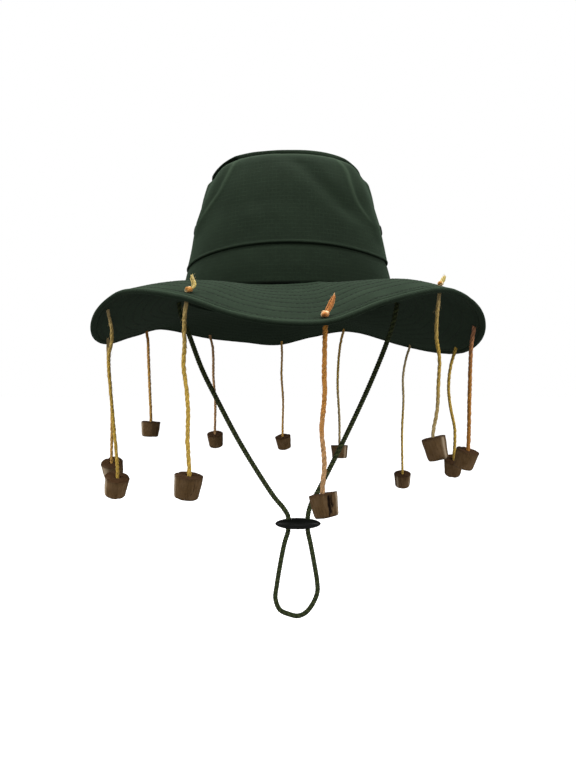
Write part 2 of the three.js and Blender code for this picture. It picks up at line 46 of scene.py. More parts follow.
# Head opening and crown
HEAD_WIDTH = 173 * MM
HEAD_LENGTH = 200 * MM
CROWN_HEIGHT = 100 * MM
CROWN_WALL = 1.2 * MM
BAND_WALL = 1.6 * MM
BAND_HEM = 0.8 * MM
TUCK_OVERLAP = 3 * MM
TUCK_BULGE = 0.4 * MM
SEAM_GAP = 0.3 * MM
TIP_EDGE_HEIGHT = 3.2 * MM
TIP_RISE = 6 * MM
TIP_WALL = 1.4 * MM
TIP_LIP = 1.5 * MM

# Brim
BRIM_WIDTH = 80 * MM
BRIM_WALL = 2.2 * MM
BRIM_SEAM = 3.2 * MM
HEM_WIDTH = 5 * MM
HEM_THICKNESS = 3.6 * MM
STITCH_ROW_SPACING = 7.7 * MM
FIRST_STITCH_ROW = 8 * MM
STITCH_ROWS = 8
HEM_STITCH_ROW = 72.2 * MM
UNDER_FACE = BRIM_WALL - 0.2 * MM
UNDER_RELIEF = 0.7

# Stitches, and the turn in degrees between the points that a row is measured at
STITCH_LENGTH = 2.2 * MM
STITCH_GAP = 0.8 * MM
STITCH_DEPTH = 0.2 * MM
STITCH_RISE = 0.08 * MM
THREAD_RADIUS = 0.22 * MM
STITCH_TURN = 0.2

# Columns of each grid that is wrapped round the hat
CROWN_COLUMNS, BAND_COLUMNS, TIP_COLUMNS = 540, 360, 360
BRIM_COLUMNS, HEM_COLUMNS = 480, 600

# Gap between brim and band in front: how far the brim sags, the middle and spread of the sag in degrees, and
# how far out it reaches on the cloth
FRONT_SAG = 2.6 * MM
SAG_AZIMUTH = -5
SAG_SPREAD = 18.5
SAG_REACH = 26 * MM

# Eyelets; bore, barrel and rim are radii
EYELET_HEIGHT = 58 * MM
EYELET_AZIMUTH = 84
EYELET_BORE = 2.1 * MM
EYELET_BARREL = 2.7 * MM
EYELET_RIM = 4.4 * MM

# Strings, corks and knots
STRING_DIAMETER = 2.9 * MM
STRING_HOLE = BRIM_WIDTH - 9.5 * MM
STRING_IN_KNOT = 1.6 * MM
STRING_LEADS = (0.6 * MM, 3 * MM)
STRING_IN_CORK = 8.5 * MM
STRING_STEP = 0.6 * MM
YARN_PLIES = 3
YARN_PITCH = 13 * MM
LOOSE_FIBRES = 26
DYE_LENGTH = 120 * MM
CORK_TOP = 17.3 * MM
CORK_BOTTOM = 14.5 * MM
CORK_HEIGHT = 15 * MM
CORK_HOLE_DEPTH = 9 * MM
CORK_HOLE = 3.8 * MM
CORK_SIDES = 88
SPLIT_DEPTH = 1.1 * MM
SPLIT_TAPER = 0.08
KNOT_DIAMETER = 5.2 * MM
KNOT_YARN = 1.25 * MM
KNOT_SINK = 0.8 * MM
TAIL_LOCKS = 11
LOOSE_HAIRS = 14

# Chin cord and toggle
CORD_STEP = 0.4 * MM
BRAID_STRANDS = 4
BRAID_PITCH = 8.6 * MM
BRAID_RADIUS = 1.42 * MM
BRAID_WAVE = 0.3 * MM
BRAID_CORE = 1.1 * MM
STRAND_THICKNESS = 0.52 * MM
STRAND_BREADTH = 0.86 * MM
TOGGLE_LENGTH = 38 * MM
TOGGLE_DEPTH = 14 * MM
TOGGLE_HEIGHT = 9.2 * MM
TOGGLE_HOLE_SPACING = 16.4 * MM
TOGGLE_HOLE = 4.6 * MM
TOGGLE_EDGE = 0.35 * MM
MOULD_LINE = (1.006, 1.012)
TOGGLE_PLACE = Vector((8.3 * MM, -14 * MM, -187 * MM))

# Weave of the cloth
RIPSTOP_GRID = 3 * MM
GRID_THREAD = 0.5 * MM
WEAVE_PITCH = 0.62 * MM

# Camera, floor and lights: a light's place, what it is aimed at, its size across and its power
CAMERA_PLACE = (0, -0.520, -0.0708)
CAMERA_LENS = 28.5
CAMERA_SENSOR = 36
FLOOR_HEIGHT = -0.42
FLOOR_SIZE = 30
LIGHTS = {
    "overhead": ((0, -0.1, 1.5), (0, 0, 0), 1.5, 36.5),
    "left_side": ((-1.45, -0.75, 0.8), (0, 0, 0.02), 0.7, 20),
    "right_side": ((1.45, -0.75, 0.8), (0, 0, 0.02), 0.7, 19),
    "low_front": ((0.2, -4, -0.6), (0, 0, -0.14), 1.9, 61),
    "floor_bounce": ((0, -0.1, -0.41), (0, -0.1, 0), 1.2, 1.15),
}
AMBIENT_STRENGTH = 0.13

# Outer face of the crown from the brim up: height, width and depth as shares
CROWN_SECTIONS = [
    (0.0, 1.0, 1.0), (0.12, 0.986, 0.986), (0.215, 0.966, 0.967), (0.27, 0.953, 0.955), (0.42, 0.918, 0.92),
    (0.567, 0.885, 0.882), (0.771, 0.842, 0.828), (0.928, 0.783, 0.762), (1.0, 0.74, 0.706),
]

# Ridges (+) and hollows (-) of the crown:
# from azimuth, from height, to azimuth, to height, spread in degrees, push as a share of half the width
CROWN_FOLDS = [
    (-42, 0.95, -60, 0.57, 8, 0.028), (42, 0.95, 58, 0.52, 9, 0.028),
    (-60, 1.0, -76, 0.7, 11, -0.026), (61, 1.0, 79, 0.7, 11, -0.028),
    (7, 0.9, 32, 0.58, 8, -0.022), (-14, 0.9, -20, 0.6, 12, -0.01),
    (172, 0.97, 196, 0.5, 16, -0.02), (132, 1.0, 116, 0.55, 12, 0.02), (-134, 1.0, -118, 0.55, 12, 0.02),
]
# past its ends a fold fades over this share of its length
FOLD_FADE = 0.35

# Sharp creases along the ridges, from the top down: azimuth and height
CROWN_CREASES = [
    [(-33, 1.0), (-36, 0.94), (-39, 0.84), (-42.8, 0.74), (-49, 0.655), (-57.5, 0.56), (-65, 0.51)],
    [(31, 1.0), (35, 0.955), (38, 0.88), (38.8, 0.79), (42.3, 0.65), (51.5, 0.53), (60, 0.48)],
    [(133, 1.0), (127, 0.8), (117, 0.57)],
    [(-136, 1.0), (-126, 0.76), (-119, 0.58)],
]
# a crease's spread in degrees, and the share of the height over which it fades at its foot
CREASE_SPREAD = 1.4
CREASE_FADE = 0.12

# Edge of the crown, sunk at the corners:
# azimuth, height of the wall's top and of the top of the tip's roll, in millimetres
CROWN_EDGE = (
    (-180, 99.6, 102.8), (-128, 97.6, 101.2), (-90, 97.5, 101.2), (-72, 94.7, 99.2), (-60, 94.4, 100.3),
    (-48, 96.2, 102), (-30, 100, 103.6), (-15, 99.9, 103), (0, 99.6, 102.8), (15, 99.9, 103.3),
    (30, 100.1, 103.6), (42, 98.6, 102.8), (50, 97.4, 101.6), (60, 95.6, 99.8), (70, 95.2, 98.8),
    (90, 98, 101.3), (128, 97.8, 101.2),
)
WALL_TOP, ROLL_TOP = 1, 2

# Where the crown's foot is tucked over the band: azimuth and height in millimetres
TUCK_LINE = (
    (-178, 26.8), (-140, 26), (-100, 22.8), (-74, 22.6), (-53, 24.3), (-35, 26), (-22, 27.1), (0, 27.9),
    (20, 27.5), (40, 26.3), (53, 26), (71, 27.4), (92, 28.6), (130, 27.8),
)

# Wave of the brim: azimuth, fall of the rim, arch of the cloth, plan reach, all as shares of the cloth
BRIM_WAVE = (
    (-176, 0.32, 0.01, 1), (-163, 0.285, 0.01, 1), (-150, 0.25, 0.02, 1), (-129, 0.165, 0.03, 1),
    (-114, 0.3, 0.02, 1), (-92, 0.455, 0.02, 1), (-72, 0.42, 0, 0.995), (-50, 0.22, 0.015, 0.965),
    (-38, 0.155, 0.055, 0.96), (-22, 0.25, 0.05, 0.985), (-10, 0.405, 0.01, 1), (0, 0.465, 0, 1),
    (9, 0.445, 0, 1), (20, 0.29, 0.052, 0.985), (36, 0.152, 0.075, 0.965), (51, 0.228, 0.075, 0.98),
    (72, 0.44, 0.05, 1), (92, 0.55, 0, 1), (114, 0.51, 0, 1), (134, 0.375, 0.02, 1),
    (157, 0.132, 0.03, 1), (171, 0.2, 0.01, 1),
)
FALL, ARCH, REACH = 1, 2, 3

# One row a string:
# its name and the azimuth of its hole,
# its cork's lean and nod in degrees, and width and height as shares of the common ones,
# its tail's length in millimetres, the azimuth that it leans towards, the lean in degrees and its bend,
# the colours of the yarn from top to foot, and those of knot and tail,
# the route in millimetres from the hole: to +X, to the back and down, with the cork's mouth last
STRINGS = [
    ("01", -83, (1, 26, 1.03, 0.98), (7, 60, 30, 1), ("straw", "gold", "gold"), ("gold", "cream"),
     [(0.4, 0, 28.6), (2.5, 1, 53.4), (2.9, 1, 78), (3.1, 0, 104.6)]),
    ("02", -54, (-13, 17, 0.98, 0.96), (6, 100, 35, -1), ("straw", "yellow", "yellow"), ("amber", "yellow"),
     [(2.4, 0, 14), (2.7, 0, 23.5), (0.7, 0, 34), (1.8, -1, 54.7), (4, -1, 79.2), (6.7, 0, 119)]),
    ("03", -118, (-3, -1, 1.07, 0.97), (7, 20, 30, 1), ("amber", "gold", "gold"), ("rust", "gold"),
     [(1.3, 0, 13), (1.6, 0, 25), (1.9, 1, 40.3), (3.2, 0, 64.8), (4.1, 0, 90.7)]),
    ("04", -22, (-8.5, 5, 1.01, 0.95), (9.5, 96, 12, 2.4), ("straw", "yellow", "yellow"),
     ("amber", "lemon"),
     [(-1.2, 0, 13), (-1.6, 0, 23), (-1.4, 0, 33), (-2.2, 1, 44.5), (-0.6, 1, 57), (0.7, 0, 71.3),
      (0.4, 0, 89.4), (1.4, 0, 110.5)]),
    ("05", -148.5, (3, 19, 1.0, 0.98), (6, 170, 25, 1), ("tan", "tan", "tan"), ("gold", "straw"),
     [(2.5, 0, 13), (3.5, 0, 25), (3.7, 0, 48), (5.5, 1, 74), (5.4, 0, 109)]),
    ("06", -177.5, (9, 15, 1.02, 0.96), (7, 80, 30, -1), ("gold", "gold", "gold"), ("amber", "tan"),
     [(0.4, 0, 17.5), (-0.2, 0, 40), (1.6, -1, 68.2), (1.2, 0, 109)]),
    ("07", 8, (10, -8, 0.99, 0.93), (14.6, 100, 27, 0.6), ("amber", "amber", "tan"), ("copper", "copper"),
     [(-0.7, 0, 26), (-0.7, 1, 49.7), (-2.3, 1, 66.6), (-0.7, 0, 86.5), (-1.8, 0, 104.8)]),
    ("08", 158, (0, -4, 1.1, 0.95), (7, -40, 30, 1), ("gold", "yellow", "straw"), ("straw", "yellow"),
     [(-2.6, 0, 13), (-4.5, 0, 24), (-6, 0, 40), (-6.8, 0, 64.3), (-4.8, 1, 103), (-4.8, 0, 131.2)]),
    ("09", 126.5, (3, 17, 0.98, 0.93), (8, 60, 25, 1), ("straw", "straw", "yellow"), ("gold", "yellow"),
     [(-3.2, 0, 13), (-5.5, 0, 23), (-7.2, 0, 36), (-6.9, -1, 58), (-8.1, 0, 90), (-7.7, 0, 132.2)]),
    ("10", 37.5, (13.5, -4, 0.9, 0.98), (6.5, 100, 30, 0.4), ("straw", "yellow", "straw"),
     ("amber", "lemon"),
     [(-1.7, 0, 18), (-2, 0, 34), (-0.2, 0, 47), (-0.6, 1, 63), (-1.3, 1, 79), (-4.3, 0, 97.4)]),
    ("11", 93, (3, 27, 0.95, 1.04), (7, 150, 30, 1), ("yellow", "yellow", "yellow"), ("straw", "tan"),
     [(-2.8, 0, 12), (-4.9, 0, 21), (-6, 1, 36), (-4.7, 1, 52), (-0.6, 1, 73.6), (-1.7, 0, 98.8)]),
    ("12", 68, (-12, 12, 1.0, 0.96), (7, -20, 28, -1), ("rust", "amber", "amber"), ("gold", "rust"),
     [(-2, 0, 15), (-2.8, 0, 30), (-3.9, -1, 58), (-4.8, 0, 95.6)]),
]

# Strings of the orange yarn
ORANGE_STRINGS = ("05", "06", "07", "12")

# Thickness of the heavier strings, as shares of the common one
STRING_WEIGHTS = {
    "03": 1.2, "04": 1.1, "05": 1.2, "06": 1.05, "07": 1.25, "08": 1.18, "11": 1.15, "12": 1.28,
}

# Knots that differ from the rest: size as a share, shift to +X and outwards in millimetres, and
# width of the tail as a share
KNOTS = {"04": (0.95, 1.9, 0.9, 0.66), "07": (1.05, -0.6, 1.9, 1.0), "10": (0.8, 0, 0, 0.75)}
PLAIN_KNOT = (0.95, 0, 0, 0.75)

# Splits down a cork's side: azimuth, width in millimetres, start and end as shares of the height
# from the top down
CORK_SPLITS = {
    "07": [(16, 0.6, 0.08, 0.98), (24, 0.75, 0.05, 0.9), (33, 0.55, 0.08, 0.65)],
    "03": [(62, 0.5, 0.3, 1.0)],
    "05": [(-30, 0.8, 0.75, 1.0), (150, 0.6, 0.0, 0.5)],
    "02": [(-68, 0.5, 0.0, 0.35), (120, 0.7, 0.2, 0.8)],
    "12": [(52, 0.6, 0.0, 0.3), (-160, 0.8, 0.3, 1.0)],
    "09": [(140, 0.9, 0.1, 0.7)],
}

# How pale each cork is drawn, on the common cork and on those that differ:
# its stain, and painted light lifting the corks that hang in the brim's shade
PLAIN_STAIN_AND_LIGHT = 1.2
CORK_STAIN_AND_LIGHT = {
    "01": 1.35, "02": 1.6, "03": 1.3, "04": 1.25, "05": 1.3, "10": 1.12, "11": 1.35, "12": 1.5,
}

# Paler stripes down a cork's side, painted sheen near its edges: azimuth and spread in degrees
CORK_PAINTED_SHEEN = {
    "10": [(36, 9)], "01": [(-35, 25)], "04": [(-62, 8)], "03": [(-58, 12)], "08": [(40, 8)],
    "07": [(66, 8)], "09": [(-50, 7), (48, 7)], "02": [(-50, 10)],
}

# Route of the chin cord in millimetres, from the hat's right round its loop to the left
CHIN_CORD_ROUTE = [
    (-91, -14, -2.6), (-88.6, -14, -15), (-82.6, -14.5, -29), (-71.2, -15, -59), (-58.3, -15, -85),
    (-39.1, -15, -121), (-12, -14.5, -164), (-3.5, -14, -174.5), (0.1, -14, -181), (0.1, -14, -187),
    (0.1, -14, -193), (-2.6, -14, -202), (-5.6, -14.5, -216), (-9.3, -15, -238), (-10.4, -15.5, -249),
    (-6.6, -16, -258), (0.8, -16, -261.5), (8, -16, -263), (14.4, -16, -260.4), (20, -15.5, -254),
    (24.3, -15, -244), (24.2, -15, -235), (21.6, -14.5, -218.9), (18.6, -14, -203), (16.5, -14, -193),
    (16.5, -14, -187), (16.5, -14, -181), (18.6, -14, -172), (25, -14.5, -159.8), (40, -15, -130.3),
    (58.3, -15, -92.4), (69.9, -15, -66.6), (82, -14.5, -36.7), (87.6, -14, -20), (91, -14, -2.6),
]

# Colours, linear
YARN_COLOURS = {
    "cream": (0.72, 0.56, 0.31),
    "lemon": (0.66, 0.51, 0.14),
    "straw": (0.42, 0.315, 0.14),
    "yellow": (0.58, 0.375, 0.058),
    "gold": (0.60, 0.335, 0.075),
    "amber": (0.51, 0.215, 0.032),
    "copper": (0.56, 0.21, 0.05),
    "rust": (0.46, 0.20, 0.10),
    "tan": (0.50, 0.29, 0.13),
}
# each cloth's own colour, and a paler one used for worn cloth and for painted highlights
CLOTH_COLOURS = {"fresh": (0.0102, 0.0176, 0.0098), "worn": (0.036, 0.056, 0.034)}
HEM_COLOURS = {"fresh": (0.0112, 0.0190, 0.0107), "worn": (0.038, 0.059, 0.036)}
CLOTH_SHEEN = (0.5, 0.78, 0.52, 1)
BRAID_COLOURS = {
    "plain": (0.03, 0.04, 0.013), "dark": (0.022, 0.032, 0.009), "fleck": (0.062, 0.078, 0.025),
}
CORK_COLOURS = {
    "plain": (0.09, 0.055, 0.025),
    "dark grain": (0.050, 0.028, 0.0105),
    "grain": (0.085, 0.049, 0.0200),
    "pale grain": (0.122, 0.075, 0.036),
    "cloud": (0.112, 0.070, 0.036),
    # pale stripes of painted sheen
    "rub": (0.36, 0.28, 0.19),
    # dark edges, and painted shade inside the drilled mouth
    "rim": (0.036, 0.02, 0.01),
    "pit": (0.036, 0.02, 0.009),
    "crack": (0.024, 0.013, 0.007),
    "end": (0.034, 0.0155, 0.0055),
    # near black painted into the splits: painted shade
    "split": (0.012, 0.007, 0.004),
}
TOGGLE_BLACK = (0.0036, 0.0046, 0.0038)
METAL_COLOURS = {
    "plain": (0.02, 0.021, 0.02), "dark": (0.014, 0.015, 0.014), "rubbed": (0.06, 0.06, 0.055),
}
THREAD_COLOURS = {
    "plain": (0.008, 0.012, 0.0075), "dark": (0.005, 0.008, 0.005), "pale": (0.012, 0.018, 0.011),
}
FLOOR_COLOUR = (0.86, 0.86, 0.86)
WHITE = (1, 1, 1, 1)


# Measures

def facing(azimuth):
    """X and Y of an azimuth, which turns from the front to +X."""
    return math.sin(math.radians(azimuth)), -math.cos(math.radians(azimuth))


def turn_between(azimuth, middle):
    """Degrees from middle to azimuth, the short way round."""
    return (azimuth - middle + 180) % 360 - 180


def held(share):
    """A share kept between 0 and 1."""
    return min(1, max(0, share))


def bell(away, spread):
    """A soft bell: 1 in its middle, about a third at its spread."""
    return math.exp(-((away / spread) ** 2))


def near_azimuth(azimuth, middle, spread):
    """A bell round one azimuth."""
    return bell(turn_between(azimuth, middle), spread)


def noise_at(x, y, z):
    return noise.noise(Vector((x, y, z)))


def eased(start, end, leave, arrive, t):
    """A point t of the way from start to end, with the slopes leave and arrive at its ends."""
    point = start + (end - start) * (3 * t ** 2 - 2 * t ** 3)
    return point + leave * (t ** 3 - 2 * t ** 2 + t) + arrive * (t ** 3 - t ** 2)


# The hat's form

def beside_opening(azimuth, out, z):
    """A point beside the head opening, out from its oval and square to it."""
    side, front = facing(azimuth)
    outward = Vector((side / HEAD_WIDTH, front / HEAD_LENGTH, 0)).normalized()
    return Vector((HEAD_WIDTH / 2 * side, HEAD_LENGTH / 2 * front, z)) + outward * out


@functools.lru_cache(maxsize=None)
def round_hat(table, azimuth, column):
    """One column of a table of azimuths, a smooth closed curve through its rows."""
    count = len(table)
    first = table[0][0]
    turned = (azimuth - first) % 360 + first

    def row(index):
        entry = table[index % count]
        return entry[0] + 360 * (index // count), entry[column]

    def slope(index):
        (before_at, before), (after_at, after) = row(index - 1), row(index + 1)
        return (after - before) / (after_at - before_at)

    low = max(index for index in range(count) if table[index][0] <= turned)
    (start_at, start), (end_at, end) = row(low), row(low + 1)
    span = end_at - start_at
    return eased(start, end, span * slope(low), span * slope(low + 1), (turned - start_at) / span)


def brim_top(azimuth, along):
    """The brim's top face; along is measured over the cloth from the head opening."""
    fall = round_hat(BRIM_WAVE, azimuth, FALL)
    cloth = BRIM_WIDTH - BRIM_SEAM
    t = max(0, along - BRIM_SEAM) / cloth
    plan = cloth * t * math.sqrt(1 - fall * fall) * round_hat(BRIM_WAVE, azimuth, REACH)
    drop = cloth * (fall * t - 4 * round_hat(BRIM_WAVE, azimuth, ARCH) * t * (1 - t))
    return beside_opening(azimuth, min(along, BRIM_SEAM) + plan, -drop)


def brim_frame(azimuth, along):
    """The brim's top point with the directions out along the cloth and square to it."""
    reach, turn = 0.5 * MM, 0.5
    outward = (brim_top(azimuth, along + reach) - brim_top(azimuth, max(0, along - reach))).normalized()
    sideways = brim_top(azimuth + turn, along) - brim_top(azimuth - turn, along)
    return brim_top(azimuth, along), outward, outward.cross(sideways).normalized()


def crease_at(azimuth, height):
    """How near a point is to the middle of a sharp crease, from 0 to 1."""
    nearest = 0
    for crease in CROWN_CREASES:
        rows = [(at_height, at_azimuth) for at_azimuth, at_height in reversed(crease)]
        foot = rows[0][0]
        if foot < height <= rows[-1][0]:
            fade = min(1, (height - foot) / CREASE_FADE)
            middle = smooth_between(rows, height)[0]
            nearest = max(nearest, near_azimuth(azimuth, middle, CREASE_SPREAD) * fade)
    return nearest


def fold_push(azimuth, height):
    """Sum of the crown's ridges and hollows at an azimuth and height share."""
    push = 0
    height = min(height, 0.99)
    for from_azimuth, from_height, to_azimuth, to_height, spread, share in CROWN_FOLDS:
        along = (from_height - height) / (from_height - to_height)
        past = max(-along, along - 1, 0)
        fade = max(0, 1 - past / FOLD_FADE)
        middle = from_azimuth + (to_azimuth - from_azimuth) * along
        push += share * fade * near_azimuth(azimuth, middle, spread)
    return push * HEAD_WIDTH / 2


def smooth_between(rows, value):
    """The columns of a table at a value of its first, smooth through its rows."""
    upper = next((index for index, row in enumerate(rows) if row[0] >= value), len(rows) - 1)
    upper = max(1, upper)
    low, high = rows[upper - 1], rows[upper]
    before, after = rows[max(0, upper - 2)], rows[min(len(rows) - 1, upper + 1)]
    span = high[0] - low[0]
    mixed = []
    for column in range(1, len(low)):
        leave = span * (high[column] - before[column]) / (high[0] - before[0])
        arrive = span * (after[column] - low[column]) / (after[0] - low[0])
        mixed.append(eased(low[column], high[column], leave, arrive, (value - low[0]) / span))
    return mixed


def crown_halves(width, depth):
    """Half the crown's width and depth where they are these shares of what the band measures."""
    return (HEAD_WIDTH / 2 + BAND_WALL) * width, (HEAD_LENGTH / 2 + BAND_WALL) * depth


def crown_face(azimuth, z, inset):
    """The crown's outer face, moved in by inset."""
    half_width, half_length = crown_halves(*smooth_between(CROWN_SECTIONS, z / CROWN_HEIGHT))
    side, front = facing(azimuth)
    outward = Vector((side / half_width, front / half_length, 0)).normalized()
    face = Vector((half_width * side, half_length * front, z))
    return face + outward * (fold_push(azimuth, z / CROWN_HEIGHT) - inset)


def tuck_height(azimuth):
    """Foot of the crown's wall, where it is folded over the band."""
    return round_hat(TUCK_LINE, azimuth, 1) * MM


def band_top(azimuth):
    return tuck_height(azimuth) + TUCK_OVERLAP


def crown_top(azimuth):
    """Top of the crown's wall."""
    return round_hat(CROWN_EDGE, azimuth, WALL_TOP) * MM


def ripple(azimuth, along, scale, seed):
    """Soft uneven noise over the cloth, from about -1 to 1."""
    place = Vector((*facing(azimuth), along / (90 * MM))) * scale
    return noise.noise(place + Vector((seed, 0, 0)))


# Modelling helpers

def deselect():
    bpy.ops.object.select_all(action="DESELECT")


def finish_piece(piece, material, slot, *nodes):
    """Gives a piece its finish and its place on the hat's one body."""
    piece.data.materials.clear()
    piece.data.materials.append(material)
    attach(piece, "root")
    if nodes:
        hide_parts(*nodes)
    return piece


def pick(piece):
    """Selects one piece alone."""
    deselect()
    piece.select_set(True)
    bpy.context.view_layer.objects.active = piece


def edit_all():
    """Opens the active piece for editing with all of it selected."""
    bpy.ops.object.mode_set(mode="EDIT")
    bpy.ops.mesh.select_all(action="SELECT")


def smooth_shade(piece, angle=180):
    pick(piece)
    bpy.ops.object.shade_smooth_by_angle(angle=math.radians(angle))


def apply_modifier(piece, kind, **settings):
    """Adds a modifier to a piece and applies it."""
    modifier = piece.modifiers.new(kind.lower(), kind)
    for name, value in settings.items():
        setattr(modifier, name, value)
    pick(piece)
    bpy.ops.object.modifier_apply(modifier=modifier.name)


def wrapped(name, columns, rows, place, flip=False):
    """A grid wrapped round the hat.

    place(azimuth, row) gives a point, its place on the flat cloth, and its wear and painted light and shade.
    """
    deselect()
    bpy.ops.mesh.primitive_grid_add(x_subdivisions=columns, y_subdivisions=rows, size=2)
    piece = bpy.context.object
    piece.name = name
    mesh = piece.data
    spots = [
        place(-180 + 360 * column / columns, row)
        for row in range(rows + 1)
        for column in range(columns + 1)
    ]
    mesh.vertices.foreach_set("co", [value for spot in spots for value in spot[0]])
    cloth = mesh.uv_layers.active
    for loop in mesh.loops:
        cloth.uv[loop.index].vector = spots[loop.vertex_index][1]
    worn = mesh.attributes.new("worn", "FLOAT", "POINT")
    worn.data.foreach_set("value", [spot[2] for spot in spots])
    edit_all()
    bpy.ops.mesh.remove_doubles(threshold=0.002 * MM)
    if flip:
        bpy.ops.mesh.flip_normals()
    bpy.ops.object.mode_set(mode="OBJECT")
    smooth_shade(piece)
    return piece


def turned(name, profile, sides):
    """A turned piece: a ring is extruded from one radius and height of the profile to the next."""
    deselect()
    radius, height = profile[0]
    bpy.ops.mesh.primitive_circle_add(vertices=sides, radius=radius, location=(0, 0, height))
    piece = bpy.context.object
    piece.name = name
    bpy.ops.object.transform_apply(location=True, rotation=True, scale=True)
    edit_all()
    for next_radius, next_height in profile[1:]:
        lift = (0, 0, next_height - height)
        bpy.ops.mesh.extrude_edges_move(TRANSFORM_OT_translate={"value": lift})
        share = next_radius / radius
        bpy.ops.transform.resize(value=(share, share, 1), center_override=(0, 0, next_height))
        radius, height = next_radius, next_height
    bpy.ops.mesh.select_all(action="SELECT")
    bpy.ops.mesh.remove_doubles(threshold=0.01 * MM)
    bpy.ops.mesh.normals_make_consistent(inside=False)
    bpy.ops.object.mode_set(mode="OBJECT")
    return piece


def smooth_route(points, step):
    """Points about a step apart along one smooth curve through the chosen ones."""
    points = [Vector(point) for point in points]
    chain = [points[0] * 2 - points[1], *points, points[-1] * 2 - points[-2]]
    curve = []
    for before, start, end, after in zip(chain, chain[1:], chain[2:], chain[3:]):
        spans = ((before, start), (start, end), (end, after))
        first, gap, last = [max((far - near).length, 1e-9) ** 0.5 for near, far in spans]
        leave = ((start - before) / first - (end - before) / (first + gap) + (end - start) / gap) * gap
        arrive = ((end - start) / gap - (after - start) / (gap + last) + (after - end) / last) * gap
        count = max(2, round((end - start).length / step))
        curve += [eased(start, end, leave, arrive, index / count) for index in range(count)]
    curve.append(points[-1])
    return curve


def lengths_along(path):
    """How far each point lies along a path."""
    total, lengths = 0, [0]
    for start, end in zip(path, path[1:]):
        total += (end - start).length
        lengths.append(total)
    return lengths


def carried_frames(path):
    """Two sides square to a path at each of its points, carried along it without twist."""
    frames, side = [], None
    for index in range(len(path)):
        ahead = (path[min(index + 1, len(path) - 1)] - path[max(index - 1, 0)]).normalized()
        side = side or ahead.orthogonal().normalized()
        side = (side - ahead * side.dot(ahead)).normalized()
        frames.append((side, ahead.cross(side)))
    return frames


class Strands:
    """Many tubes gathered into one mesh. Their UVs are the share round a strand and the length along it."""

    def __init__(self):
        self.points, self.faces, self.places, self.tints = [], [], [], []

    def add(self, path, widths, sides, tint=0.0, frames=None, heights=None):
        """A closed tube. Its two radii, widths and heights, are set out along the directions in frames."""
        first = len(self.points)
        lengths = lengths_along(path)
        frames, heights = frames or carried_frames(path), heights or widths
        for point, (side, second), width, height in zip(path, frames, widths, heights):
            for corner in range(sides):
                angle = 2 * math.pi * corner / sides
                across = side * (width * math.cos(angle))
                self.points.append(point + across + second * (height * math.sin(angle)))
                self.tints.append(tint)
        rings = len(path)
        for ring in range(rings - 1):
            for corner in range(sides):
                turn = (corner + 1) % sides
                low, high = first + ring * sides, first + (ring + 1) * sides
                self.faces.append((low + corner, low + turn, high + turn, high + corner))
                around = (corner / sides, (corner + 1) / sides)
                self.places += [(around[0], lengths[ring]), (around[1], lengths[ring]),
                                (around[1], lengths[ring + 1]), (around[0], lengths[ring + 1])]
        last = first + (rings - 1) * sides
        self.faces.append(tuple(first + corner for corner in reversed(range(sides))))
        self.faces.append(tuple(last + corner for corner in range(sides)))
        self.places += [(0, 0)] * sides + [(0, lengths[-1])] * sides

    def piece(self, name):
        """The gathered strands as one object, in place in its mesh."""
        mesh = bpy.data.meshes.new(name)
        mesh.from_pydata(self.points, [], self.faces)
        layer = mesh.uv_layers.new(name="UVMap")
        layer.uv.foreach_set("vector", [value for place in self.places for value in place])
        tint = mesh.attributes.new("tint", "FLOAT", "POINT")
        tint.data.foreach_set("value", self.tints)
        mesh.polygons.foreach_set("use_smooth", [True] * len(mesh.polygons))
        piece = bpy.data.objects.new(name, mesh)
        bpy.context.scene.collection.objects.link(piece)
        return piece


# Material helpers

SHADER_SOCKETS = {"sheen": "Sheen Weight", "sheen_roughness": "Sheen Roughness",
                  "specular": "Specular IOR Level", "metallic": "Metallic", "glow": "Emission Strength"}


def scaled(colour, share):
    return tuple(level * share for level in colour)


